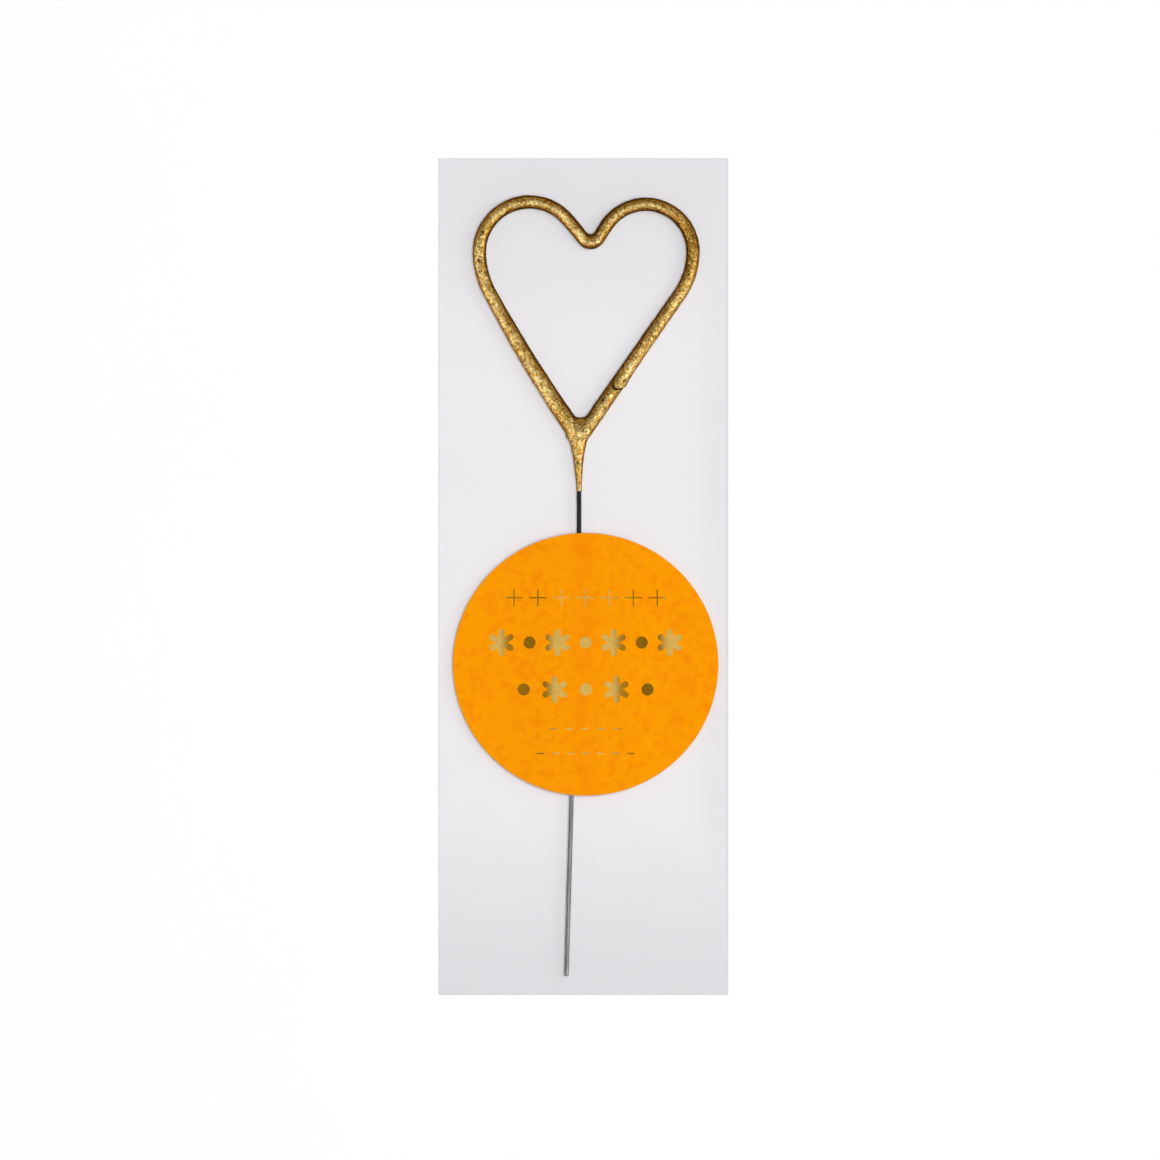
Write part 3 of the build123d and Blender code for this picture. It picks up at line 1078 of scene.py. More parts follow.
@dataclass
class BentWire:
    """One length of drawn wire: the bare stem, then once round inside the heart.

    Attributes:
        finish: finish of the wire.
        notch: lowest point of the heart's notch.
        notch_radius: radius of the bend there.
        left: the heart's left half, which goes on into the stem.
        right: the heart's right half, where the wire ends.
        fold_radius: radius of the fold from the left arm to the stem.
        upper_bend_inset: how far under the label the upper bend starts.
        upper_bend: radius, and turn in degrees, of the bend under the label's upper edge.
        lower_bend: the same for the bend under its lower edge.
        free_length: length of the stem below the label.
        free_clearance: how far below the label's edge that stretch starts.
        sides: points round the wire.
        burr: size of the rough edge that the cutter left on the tip.
        burr_spread: how much its height varies round the tip, in burrs.
        tip_length: distance of the rough edge from the wire's end, in burrs.
        tip_taper: width of the very end, as a share of the wire's.
    """

    finish: DrawnWire = field(default_factory=DrawnWire)
    notch: Pair = (1.7 * MM, 79.77 * MM)
    notch_radius: float = 2.0 * MM
    left: HeartHalf = HeartHalf(
        Side.LEFT, 50.4, 6.03 * MM, 11.97 * MM, 20.3 * MM, 28.2, (-1.6 * MM, 34.0 * MM)
    )
    right: HeartHalf = HeartHalf(
        Side.RIGHT, 56.5, 3.86 * MM, 11.24 * MM, 17.9 * MM, 34.8, (-0.2 * MM, 34.06 * MM)
    )
    fold_radius: float = 2.7 * MM
    upper_bend_inset: float = 2.9 * MM
    upper_bend: Pair = (200 * MM, 1.8)
    lower_bend: Pair = (1000 * MM, 0.13)
    free_length: float = 43.0 * MM
    free_clearance: float = 0.1 * MM
    sides: int = 28
    burr: float = 0.05 * MM
    burr_spread: float = 1.6
    tip_length: float = 1.5
    tip_taper: float = 0.94

    def __post_init__(self) -> None:
        """Draws the tracks and takes the wire's radius and height from its solid."""
        low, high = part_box("core_wire")
        self.radius = (high.z - low.z) / 2
        self.height = (high.z + low.z) / 2
        self.left_lobe = self.left.lobe(self.notch, self.notch_radius)
        self.left_arm = self.left.arm(self.left_lobe)
        self.right_lobe = self.right.lobe(self.notch, self.notch_radius)
        self.right_arm = self.right.arm(self.right_lobe)
        self.fold_turn = -math.pi / 2 - math.remainder(self.left_arm.heading, math.tau)

    def heart(self) -> list[np.ndarray]:
        """Trails of the heart, from the foot of the left arm round to the foot of the right one.

        Returns:
            Trails of the left arm, the left lobe, the right lobe and the right arm.
        """
        return [
            turned(self.left_arm.trail()),
            turned(self.left_lobe.trail())[1:],
            self.right_lobe.trail()[1:],
            self.right_arm.trail()[1:],
        ]

    def vee(self) -> Pair:
        """Finds the place where the left arm's line meets the stem's.

        Returns:
            The place.
        """
        ahead = self.fold_radius * math.tan(abs(self.fold_turn) / 2)
        heading = self.left_arm.heading
        return self.left_arm.x + ahead * math.cos(heading), self.left_arm.y + ahead * math.sin(heading)

    def stem(self) -> Track:
        """Draws the stem, from the left arm's end round the fold and down to the tip.

        Returns:
            The stem's track.
        """
        low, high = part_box("label_disc")
        upper_radius, upper_turn = self.upper_bend[0], math.radians(self.upper_bend[1])
        lower_radius, lower_turn = self.lower_bend[0], math.radians(self.lower_bend[1])
        track = Track(self.left_arm.x, self.left_arm.y, self.left_arm.heading)
        track.arc(self.fold_radius, self.fold_turn)
        track.run(track.y - (high.y - self.upper_bend_inset))
        track.arc(upper_radius, -upper_turn)
        drop = track.y - (low.y - self.free_clearance)
        track.run(drop / math.cos(upper_turn) - lower_radius * lower_turn)
        track.arc(lower_radius, lower_turn)
        track.run(self.free_length)
        return track

    def build(self) -> bpy.types.Object:
        """Builds the wire with its roughly cut tip.

        Returns:
            The wire's piece.
        """
        left_arm, *others = self.heart()
        trail = np.concatenate([turned(self.stem().trail()), left_arm[1:], *others])
        rings = tube(trail, np.full(len(trail), self.radius), self.height, self.sides)
        draw = random.Random(11)
        lip = rings[0].copy()
        lip[:, 1] += [self.burr * draw.uniform(0.0, self.burr_spread) for _ in range(self.sides)]
        core = lip.mean(axis=0)
        rings[0] = core + (lip - core) * self.tip_taper
        rings.insert(1, lip + np.array([0, self.tip_length * self.burr, 0]))
        mesh = Shell.loft(rings).mesh("drawn_wire")
        return place_piece(mesh, self.finish, Body.SPARKLER, "core_wire")


@dataclass(frozen=True)
class DipLip:
    """Curved lip where the dip ran thick down an arm and stopped, in millimetres.

    Attributes:
        place: the lip's middle, on the arm.
        half_width: distance from the arm's middle line where the lip ends.
        underside: how far below the arm's middle it still shows.
        lead: how far beyond its middle the curve's foremost point lies.
        bow: how sharply the curve bends.
        off_line: distance of that foremost point from the arm's middle line.
        onset: length over which the lip rises.
        run_out: length over which it dies away again.
        height: height of the lip.
        crease_gap: distance of the crease from the lip's edge.
        crease_width: width of the crease.
        crease_depth: depth of the crease.
        recess_shade: how dark the painted shade in the crease is.
    """

    place: Pair = (8.2, 45.0)
    half_width: float = 2.2
    underside: float = 0.3
    lead: float = 0.45
    bow: float = 0.6
    off_line: float = 0.55
    onset: float = 0.3
    run_out: float = 1.5
    height: float = 0.36
    crease_gap: float = 0.15
    crease_width: float = 0.36
    crease_depth: float = 0.06
    recess_shade: float = 1.4

    def lift(self, points: np.ndarray, heading: float, level: float) -> tuple[np.ndarray, np.ndarray]:
        """Finds how far the lip and its crease move each point.

        Args:
            points: places of the points.
            heading: direction up the arm, in radians from +X.
            level: height of the arm's middle.

        Returns:
            The lip's height at each point, and the painted shade of its crease from 0 to 1.
        """
        along = np.array([math.cos(heading), math.sin(heading)])
        across = np.array([along[1], -along[0]])
        offset = points[:, :2] - np.array(self.place)
        ahead, beside = offset @ along, offset @ across
        near = np.clip(self.half_width - np.abs(beside), 0, 1) * (points[:, 2] > level - self.underside)
        line = ahead + self.lead - self.bow * (beside + self.off_line) ** 2
        lip = np.clip(line / self.onset, 0, 1) * np.exp(-np.clip(line, 0, None) / self.run_out)
        crease = np.exp(-(((line + self.crease_gap) / self.crease_width) ** 2))
        rise = near * (self.height * lip - self.crease_depth * crease)
        # painted shade in the crease below the lip
        return rise, np.clip(self.recess_shade * near * crease, 0, 1)


@dataclass
class GoldCoat:
    """Dipped and gilded coat over the heart, with the web at the vee and the neck down the stem.

    Attributes:
        wire: the wire inside it.
        finish: finish of the coat.
        lobe_radius: radius round the lobes.
        left_base_radius: radius at the foot of the left arm.
        right_base_radius: radius at the foot of the right arm.
        web_height: height above the vee where the neck meets the arms.
        web_tuck: how far the neck's top and the web are tucked inside the arms.
        web_radius: radius of the vee's round bottom.
        web_half: half width and half depth of the bar that rounds it.
        web_sweep: angle that the bar goes round, in degrees.
        neck_length: length of the neck from the web to its edge on the bare wire.
        neck_edge: thickness of that edge.
        neck_swell: how much wider the neck is near the web, before it flares.
        neck_powers: how sharply that swell, the flare and the depth grow towards the web.
        shoulder: radius of the balls that round off the arms' ends, as a share of the arms' own.
        notch_fill: height above the notch's bend, and radius, of the paste left in the notch.
        notch_depth: depth of that paste, as a share of its width.
        armpit: place and radius of the paste left under the left arm's foot.
        bar_points: points round the arms.
        ring_points: points round the web, the neck and the lumps.
        web_rings: rings along the web.
        neck_rings: rings along the neck.
        lump_rings: rings of a lump of paste.
        lump_pole: angle from a lump's pole to its first ring, in radians.
        voxel: size of the mesh that the parts are fused in, in millimetres.
        smoothed: places, with radius, where the paste lies smoothly in a corner, in millimetres.
        smooth_reach: distance, in those radii, where the smoothing ends.
        smooth_most: the most that a point is smoothed in one round.
        fill_rounds: how many times the hollows of those corners are filled up.
        blend_rounds: how many times the corners are then smoothed all over.
        even_rounds: how many times the whole coat is smoothed in the end.
        ease: how far a point goes in a round of those two.
        lip: the lip on the right arm.
        swells: size and height of each layer of unevenness, in millimetres.
        pit_count: how many small pits the coat has.
        pit_radii: smallest and largest radius of a small pit, in millimetres.
        pit_shares: smallest and largest depth of one, as a share of the deepest.
        pit_depth: depth of the deepest pits, in millimetres.
        deep_radius: radius of those few, in millimetres.
        deep_pits: their places on the front, in millimetres.
    """

    wire: BentWire
    finish: GoldGlitter = field(default_factory=GoldGlitter)
    lobe_radius: float = 1.58 * MM
    left_base_radius: float = 2.13 * MM
    right_base_radius: float = 1.8 * MM
    web_height: float = 1.0 * MM
    web_tuck: float = 0.15 * MM
    web_radius: float = 2.25 * MM
    web_half: Pair = (1.55 * MM, 1.3 * MM)
    web_sweep: float = 110.0
    neck_length: float = 14.0 * MM
    neck_edge: float = 0.07 * MM
    neck_swell: float = 1.4 * MM
    neck_powers: tuple[float, float, float] = (1.6, 5.0, 1.4)
    shoulder: float = 0.97
    notch_fill: Pair = (1.6 * MM, 0.5 * MM)
    notch_depth: float = 1.3
    armpit: tuple[float, float, float] = (-3.0 * MM, 33.7 * MM, 1.35 * MM)
    bar_points: int = 48
    ring_points: int = 64
    web_rings: int = 40
    neck_rings: int = 60
    lump_rings: int = 25
    lump_pole: float = 0.05
    voxel: float = 0.13
    smoothed: tuple[tuple[float, float, float], ...] = ((-1.1, 35.8, 5.0), (1.7, 81.8, 2.0))
    smooth_reach: float = 1.6
    smooth_most: float = 0.9
    fill_rounds: int = 200
    blend_rounds: int = 50
    even_rounds: int = 3
    ease: float = 0.5
    lip: DipLip = DipLip()
    swells: tuple[Pair, ...] = ((4.0, 0.045), (1.2, 0.04), (0.45, 0.03))
    pit_count: int = 220
    pit_radii: Pair = (0.14, 0.34)
    pit_shares: Pair = (0.35, 1.0)
    pit_depth: float = 0.12
    deep_radius: float = 0.42
    deep_pits: tuple[Pair, ...] = (
        (9.8, 46.7), (4.5, 42.2), (-24.1, 82.3), (-25.1, 75.6), (-1.7, 27.2), (5.4, 39.8)
    )

    def arms(self) -> Shell:
        """Round bar of the coat along the whole heart.

        Returns:
            The bar, thicker towards the feet of the arms.
        """
        trails = self.wire.heart()
        left_arm, left_lobe, right_lobe, right_arm = (len(trail) for trail in trails)
        radii = np.concatenate([
            np.linspace(self.left_base_radius, self.lobe_radius, left_arm),
            np.full(left_lobe + right_lobe, self.lobe_radius),
            np.linspace(self.lobe_radius, self.right_base_radius, right_arm),
        ])
        return Shell.loft(tube(np.concatenate(trails), radii, self.wire.height, self.bar_points))

    def reach(self, arm: Track, radius: float) -> float:
        """How far an arm's outer edge lies from the vee's middle at the height of the web."""
        lean = abs(math.cos(arm.heading) / math.sin(arm.heading))
        return self.web_height * lean + radius * math.hypot(1, lean)

    def oval(self, x: float, y: float, half_width: float, half_depth: float) -> np.ndarray:
        """Draws an upright ring of points across the stem.

        Args:
            x: X of its middle.
            y: Y of the ring.
            half_width: half of its width.
            half_depth: half of its depth along Z.

        Returns:
            The ring.
        """
        angles = circle(self.ring_points)
        heights = self.wire.height + half_depth * np.sin(angles)
        return np.column_stack([x + half_width * np.cos(angles), np.full_like(angles, y), heights])

    def web(self) -> Shell:
        """Bent bar that rounds the bottom of the vee from arm to arm.

        Returns:
            The bar as a shell.
        """
        left, right = self.wire.left_arm, self.wire.right_arm
        sides = np.array([
            [-math.sin(left.heading), math.cos(left.heading)],
            [math.sin(right.heading), -math.cos(right.heading)],
        ])
        ends = np.array([[left.x, left.y], [right.x, right.y]])
        radii = np.array([self.left_base_radius, self.right_base_radius])
        x, y = np.linalg.solve(sides, (ends * sides).sum(axis=1) + radii + self.web_radius)
        half_width, half_depth = self.web_half
        angles = circle(self.ring_points)
        outward = self.web_radius + self.web_tuck + half_width * (1 + np.cos(angles))
        heights = self.wire.height + half_depth * np.sin(angles)
        rings = []
        for turn in np.radians(-90 + self.web_sweep * np.linspace(-0.5, 0.5, self.web_rings)):
            ring = [x + outward * math.cos(turn), y + outward * math.sin(turn), heights]
            rings.append(np.column_stack(ring))
        return Shell.loft(rings)

    def neck(self) -> Shell:
        """Neck that thins from the foot of the arms down to the bare wire.

        Returns:
            The neck as a shell.
        """
        vee_x, vee_y = self.wire.vee()
        left = self.reach(self.wire.left_arm, self.left_base_radius)
        right = self.reach(self.wire.right_arm, self.right_base_radius)
        web_x = vee_x + (right - left) / 2
        web_y = vee_y + self.web_height
        half_width = (left + right) / 2 - self.web_tuck
        half_depth = min(self.left_base_radius, self.right_base_radius) - self.web_tuck
        edge = self.wire.radius + self.neck_edge
        swell_power, flare_power, depth_power = self.neck_powers
        flare = half_width - edge - self.neck_swell
        rings = []
        for share in np.linspace(0, 1, self.neck_rings):
            width = edge + self.neck_swell * share**swell_power + flare * share**flare_power
            depth = edge + (half_depth - edge) * share**depth_power
            x = vee_x + (web_x - vee_x) * share
            rings.append(self.oval(x, web_y - self.neck_length * (1 - share), width, depth))
        return Shell.loft(rings)

    def lump(self, x: float, y: float, radius: float, depth: float = 1.0) -> Shell:
        """Rounded lump of paste.

        Args:
            x: X of its middle.
            y: Y of its middle.
            radius: its radius.
            depth: its depth along Z, as a share of its width.

        Returns:
            The lump as a shell.
        """
        rings = []
        for turn in np.linspace(self.lump_pole, math.pi - self.lump_pole, self.lump_rings):
            size = radius * math.sin(turn)
            rings.append(self.oval(x, y - radius * math.cos(turn), size, depth * size))
        return Shell.loft(rings)

    def fused(self) -> bpy.types.Mesh:
        """Arms, web, neck, shoulders and notch paste as one even mesh, in millimetres.

        Returns:
            The fused mesh.
        """
        left, right = self.wire.left_arm, self.wire.right_arm
        lift, radius = self.notch_fill
        lumps = [
            self.web(),
            self.neck(),
            self.lump(left.x, left.y, self.shoulder * self.left_base_radius),
            self.lump(right.x, right.y, self.shoulder * self.right_base_radius),
            self.lump(self.wire.notch[0], self.wire.notch[1] + lift, radius, self.notch_depth),
            self.lump(*self.armpit),
        ]
        rough = reduce(Shell.joined, lumps, self.arms())
        rough.points = rough.points / MM
        holder = bpy.data.objects.new("coat_form", rough.mesh("coat_form"))
        bpy.context.scene.collection.objects.link(holder)
        remesh = holder.modifiers.new("fuse", "REMESH")
        remesh.mode = "VOXEL"
        remesh.voxel_size = self.voxel
        shaped = holder.evaluated_get(bpy.context.evaluated_depsgraph_get())
        mesh = bpy.data.meshes.new_from_object(shaped)
        bpy.data.objects.remove(holder)
        mesh.name = "gold_skin"
        return mesh

    @staticmethod
    def relaxed(
        points: np.ndarray,
        edges: np.ndarray,
        weight: np.ndarray,
        rounds: int,
        outward: np.ndarray | None = None,
    ) -> np.ndarray:
        """Moves points towards the middle of their neighbours.

        Args:
            points: places of the points.
            edges: pairs of neighbours.
            weight: how far each point may go, from 0 to 1.
            rounds: how many times they move.
            outward: directions that points may not move against, so that only hollows fill up.

        Returns:
            The new places.
        """
        both = np.concatenate([edges, edges[:, ::-1]])
        both = both[weight[both[:, 0]] > 0]
        count = np.bincount(both[:, 0], minlength=len(points)).clip(1)
        for _ in range(rounds):
            sums = [np.bincount(both[:, 0], points[both[:, 1], axis], len(points)) for axis in range(3)]
            move = weight[:, None] * (np.column_stack(sums) / count[:, None] - points)
            if outward is not None:
                move -= outward * np.clip((move * outward).sum(axis=1), None, 0)[:, None]
            points = points + move
        return points

    def corners(self, points: np.ndarray) -> np.ndarray:
        """Finds how strongly each point is smoothed: most where paste lies in a corner, and not far from it.

        Args:
            points: places of the points, in millimetres.

        Returns:
            Each point's weight.
        """
        weight = np.zeros(len(points))
        for x, y, radius in self.smoothed:
            distance = np.hypot(points[:, 0] - x, points[:, 1] - y)
            weight = np.maximum(weight, self.smooth_reach - distance / radius)
        return np.clip(weight, 0.0, self.smooth_most)

    def pits(self, points: np.ndarray) -> tuple[np.ndarray, np.ndarray]:
        """Small pits where bubbles burst in the dip.

        Args:
            points: places of the points, in millimetres.

        Returns:
            Each point's drop in millimetres, and its painted shade from 0 to 1.
        """
        tree = KDTree(len(points))
        for index, point in enumerate(points):
            tree.insert(point, index)
        tree.balance()
        draw = random.Random(29)
        front = self.wire.height / MM + self.lobe_radius / MM
        deep = [(tree.find((*place, front))[0], self.deep_radius, 1.0) for place in self.deep_pits]
        small = []
        for _ in range(self.pit_count):
            middle = points[draw.randrange(len(points))]
            small.append((middle, draw.uniform(*self.pit_radii), draw.uniform(*self.pit_shares)))
        drop, recess_shade = np.zeros(len(points)), np.zeros(len(points))
        for middle, radius, depth in deep + small:
            for _, index, distance in tree.find_range(middle, 2 * radius):
                share = math.exp(-((distance / radius) ** 2)) * depth
                drop[index] = max(drop[index], self.pit_depth * share)
                # painted shade in the pit
                recess_shade[index] = max(recess_shade[index], share)
        return drop, recess_shade

    def unevenness(self, points: np.ndarray) -> np.ndarray:
        """Finds the swells, lumps and grit of the dip.

        Args:
            points: places of the points, in millimetres.

        Returns:
            Each point's rise in millimetres.
        """
        heights = np.zeros(len(points))
        for index, point in enumerate(points):
            place = Vector(point)
            heights[index] = sum(height * noise.noise(place / size) for size, height in self.swells)
        return heights

    def build(self) -> bpy.types.Object:
        """Builds the gilded coat.

        Returns:
            The coat's piece.
        """
        mesh = self.fused()
        points = read_rows(mesh.vertices, "co", 3)
        edges = read_rows(mesh.edges, "vertices", 2, np.int32)
        outward = read_rows(mesh.vertex_normals, "vector", 3)
        corners = self.corners(points)
        points = self.relaxed(points, edges, corners, self.fill_rounds, outward)
        points = self.relaxed(points, edges, self.ease * corners, self.blend_rounds)
        points = self.relaxed(points, edges, np.full(len(points), self.ease), self.even_rounds)
        mesh.vertices.foreach_set("co", points.ravel())
        mesh.update()
        lift, crease = self.lip.lift(points, self.wire.right_arm.heading + math.pi, self.wire.height / MM)
        drop, recess_shade = self.pits(points)
        heights = self.unevenness(points) + lift - drop
        points = (points + read_rows(mesh.vertex_normals, "vector", 3) * heights[:, None]) * MM
        mesh.vertices.foreach_set("co", points.ravel())
        # painted shade in the pits and the lip's crease, which the gold finish darkens
        mesh.attributes.new("recess_shade", "FLOAT", "POINT").data.foreach_set("value", np.maximum(recess_shade, crease))
        mesh.update()
        mesh.shade_smooth()
        return place_piece(mesh, self.finish, Body.SPARKLER, "gold_coat")


@dataclass
class SparkCore:
    """The spark mixture between wire and gold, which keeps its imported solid.

    Attributes:
        finish: finish of the mixture.
        node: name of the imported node.
    """

    finish: SparkMixture = field(default_factory=SparkMixture)
    node: str = "spark_composition"

    def build(self) -> bpy.types.Object:
        """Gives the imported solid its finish.

        Returns:
            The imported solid.
        """
        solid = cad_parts[self.node]
        solid.data.materials.clear()
        solid.data.materials.append(self.finish.material())
        LOG.info("%s keeps its solid", self.node)
        return solid


@dataclass
class PaperLabel:
    """Round paper label, arched a little over the wire and flat on the pads at each side.

    Attributes:
        finish: finish of the paper.
        thickness: thickness of the paper.
        crown_x: middle of the arch's flat crown.
        crown_width: width of the crown.
        left_ramp: width of the slope on its left.
        right_ramp: width of the slope on its right.
        cockle: height of the paper's slight waviness.
        cockle_size: length of that waviness.
        cockle_layer: the layer of noise that it is cut from.
        outline_points: points round the label.
        rings: rings of faces between its middle and its rim.
        edge: rounding of its cut edge.
        slope_points: points along the curve of a slope.
    """

    finish: OrangePaper = field(default_factory=OrangePaper)
    thickness: float = 0.4 * MM
    crown_x: float = 2.8 * MM
    crown_width: float = 14.3 * MM
    left_ramp: float = 15.5 * MM
    right_ramp: float = 10.8 * MM
    cockle: float = 0.012 * MM
    cockle_size: float = 9 * MM
    cockle_layer: float = 4.5
    outline_points: int = 360
    rings: int = 90
    edge: float = 0.05 * MM
    slope_points: int = 65

    def __post_init__(self) -> None:
        """Takes the label's place and heights from its solid."""
        self.low, self.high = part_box("label_disc")
        self.middle = ((self.low.x + self.high.x) / 2, (self.low.y + self.high.y) / 2)
        self.rise = self.high.z - self.thickness - self.low.z
        turn = np.linspace(0, 1, self.slope_points)
        # the slope is the cubic curve over (0, 0), (0.5, 0), (0.5, 1) and (1, 1)
        self.slope_run = 1.5 * turn * (1 - turn) + turn**3
        self.slope_rise = 3 * turn**2 - 2 * turn**3

    def under(self, x: np.ndarray, y: np.ndarray) -> np.ndarray:
        """Height of the label's underside.

        Args:
            x: X of the places.
            y: Y of the places.

        Returns:
            The heights.
        """
        left = self.crown_x - self.crown_width / 2
        right = self.crown_x + self.crown_width / 2
        run_left = np.clip((x - left + self.left_ramp) / self.left_ramp, 0, 1)
        run_right = np.clip((right + self.right_ramp - x) / self.right_ramp, 0, 1)
        share = np.interp(np.minimum(run_left, run_right), self.slope_run, self.slope_rise)
        places = zip(x.ravel() / self.cockle_size, y.ravel() / self.cockle_size)
        waves = np.array([noise.noise((*place, self.cockle_layer)) for place in places]).reshape(x.shape)
        return self.low.z + self.rise * share + self.cockle * (1 + waves)

    def over(self, x: np.ndarray, y: np.ndarray) -> np.ndarray:
        """Height of the label's printed face at places x, y."""
        return self.under(x, y) + self.thickness - 2 * self.cockle

    def build(self) -> bpy.types.Object:
        """Builds the label.

        Returns:
            The label's piece.
        """
        width, height = self.high.x - self.low.x, self.high.y - self.low.y
        outline = ellipse(self.middle, width, height, self.outline_points)
        sheet = Shell.plate(outline, self.rings, self.under, self.over, self.edge)
        return place_piece(sheet.mesh("paper_label"), self.finish, Body.CARD, "label_disc")


@dataclass
class FoilPrint:
    """Rows of foil marks pressed on the label: bold sparks and dots between thin twinkles and dashes.

    Attributes:
        label: the label that they lie on.
        finish: finish of the foil.
        lift: how far the foil stands above the paper.
        rows: kinds of mark in turn, count, pitch and height above the label's middle of each row.
        spark: size and stroke of a bold spark.
        twinkle: size and stroke of a thin twinkle.
        dash: length and stroke of a dash.
        dot: width of a dot.
        dot_points: points round a dot.
        tip_points: points round the tip of a ray.
        rings: rings of faces between a mark's middle and its rim.
        edge: rounding of the foil's edge.
    """

    label: PaperLabel
    finish: FoilGold = field(default_factory=FoilGold)
    lift: float = 0.03 * MM
    rows: tuple[tuple[tuple[Mark, ...], int, float, float], ...] = (
        ((Mark.TWINKLE,), 7, 5.7 * MM, 15.9 * MM),
        ((Mark.SPARK, Mark.DOT), 7, 6.7 * MM, 5.2 * MM),
        ((Mark.DOT, Mark.SPARK), 5, 7.4 * MM, -6.0 * MM),
        ((Mark.DASH,), 5, 3.8 * MM, -15.4 * MM),
        ((Mark.DASH,), 7, 3.6 * MM, -21.3 * MM),
    )
    spark: Pair = (6.5 * MM, 1.45 * MM)
    twinkle: Pair = (4.2 * MM, 0.32 * MM)
    dash: Pair = (1.9 * MM, 0.32 * MM)
    dot: float = 2.9 * MM
    dot_points: int = 48
    tip_points: int = 9
    rings: int = 8
    edge: float = 0.008 * MM

    def star(self, size: float, stroke: float, rays: int, start: float) -> np.ndarray:
        """Outline of round-ended rays that cross at the middle.

        Args:
            size: distance between opposite tips.
            stroke: width of a ray.
            rays: number of rays.
            start: direction of the first ray, in radians.

        Returns:
            The outline's points, anticlockwise.
        """
        points = []
        tip = (size - stroke) / 2
        half_gap = math.pi / rays
        for index in range(rays):
            direction = start + 2 * half_gap * index
            for turn in np.linspace(-math.pi / 2, math.pi / 2, self.tip_points):
                points.append(tip * self.towards(direction) + stroke / 2 * self.towards(direction + turn))
            if rays > 2:
                corner = stroke / 2 / math.sin(half_gap)
                points.append(corner * self.towards(direction + half_gap))
        return np.array(points)

    @staticmethod
    def towards(direction: float) -> np.ndarray:
        """Step of length 1 in a direction."""
        return np.array([math.cos(direction), math.sin(direction)])

    def outline(self, mark: Mark) -> np.ndarray:
        """Draws the outline of one kind of mark.

        Args:
            mark: the kind.

        Returns:
            The outline's points about its middle.
        """
        if mark is Mark.DOT:
            return ellipse((0.0, 0.0), self.dot, self.dot, self.dot_points)
        sizes = {Mark.SPARK: self.spark, Mark.TWINKLE: self.twinkle, Mark.DASH: self.dash}
        return self.star(*sizes[mark], mark.value, math.pi / 2 if mark is Mark.SPARK else 0.0)

    def over(self, x: np.ndarray, y: np.ndarray) -> np.ndarray:
        """Height of the foil's face at places x, y."""
        return self.label.over(x, y) + self.lift

    def build(self) -> bpy.types.Object:
        """Builds all marks of the print as one piece.

        Returns:
            The print's piece.
        """
        marks = []
        for kinds, count, pitch, height in self.rows:
            for index in range(count):
                place = np.array(self.label.middle) + [(index - (count - 1) / 2) * pitch, height]
                outline = self.outline(kinds[index % len(kinds)]) + place
                marks.append(Shell.plate(outline, self.rings, self.label.over, self.over, self.edge))
        mesh = reduce(Shell.joined, marks).mesh("foil_print")
        return place_piece(mesh, self.finish, Body.CARD, "label_foil")


@dataclass
class FoamPad:
    """Foam strip that holds one wing of the label off the card.

    Attributes:
        node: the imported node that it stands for.
        finish: finish of the foam.
        corner: radius of its corners.
        waist: how far its sides pull in between the two films.
        waist_power: how evenly they do, where a small power is even.
        ripple: depth of the ripples in its sides.
        ripples: how many half ripples lie between the films.
        rings: rings of points from film to film.
        film_shares: sizes of the rings on each film, as shares of its outline.
        spacing: longest step between points along its sides.
    """

    node: str
    finish: PadFoam = field(default_factory=PadFoam)
    corner: float = 1.0 * MM
    waist: float = 0.22 * MM
    waist_power: float = 0.6
    ripple: float = 0.05 * MM
    ripples: int = 9
    rings: int = 13
    film_shares: Pair = (0.5, 0.9)
    spacing: float = 0.5 * MM

    def build(self) -> bpy.types.Object:
        """Builds the strip with its waisted sides.

        Returns:
            The strip's piece.
        """
        low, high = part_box(self.node)
        outline = rounded_rectangle(low, high, self.corner, self.spacing)
        middle = outline.mean(axis=0)
        arms = outline - middle
        reach = np.linalg.norm(arms, axis=1, keepdims=True)
        films = [middle + arms * share for share in self.film_shares]
        rings = [Shell.raised(film, np.full(len(arms), high.z)) for film in films]
        for share in np.linspace(0, 1, self.rings):
            bulge = math.sin(math.pi * share)
            pulled = self.waist * bulge**self.waist_power
            pulled += self.ripple * math.sin(self.ripples * math.pi * share) * bulge
            ring = middle + arms * (1 - pulled / reach)
            rings.append(Shell.raised(ring, np.full(len(arms), high.z + (low.z - high.z) * share)))
        rings += [Shell.raised(film, np.full(len(arms), low.z)) for film in reversed(films)]
        name = self.node.replace("foam_pad", "foam_strip")
        return place_piece(Shell.loft(rings).mesh(name), self.finish, Body.CARD, self.node)


@dataclass
class BackingCard:
    """Stiff white card that the sparkler is sold on.

    Attributes:
        finish: finish of the board.
        corner: radius of its cut corners.
        edge: rounding of its cut edges.
        rings: rings of faces between its middle and its rim.
        spacing: longest step between points along its sides.
    """

    finish: WhiteBoard = field(default_factory=WhiteBoard)
    corner: float = 0.25 * MM
    edge: float = 0.06 * MM
    rings: int = 12
    spacing: float = 2 * MM

    def build(self) -> bpy.types.Object:
        """Builds the card.

        Returns:
            The card's piece.
        """
        low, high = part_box("backing_card")
        outline = rounded_rectangle(low, high, self.corner, self.spacing)
        under, over = (lambda x, y, z=level: np.full_like(x, z) for level in (low.z, high.z))
        sheet = Shell.plate(outline, self.rings, under, over, self.edge)
        return place_piece(sheet.mesh("white_card"), self.finish, Body.CARD, "backing_card")


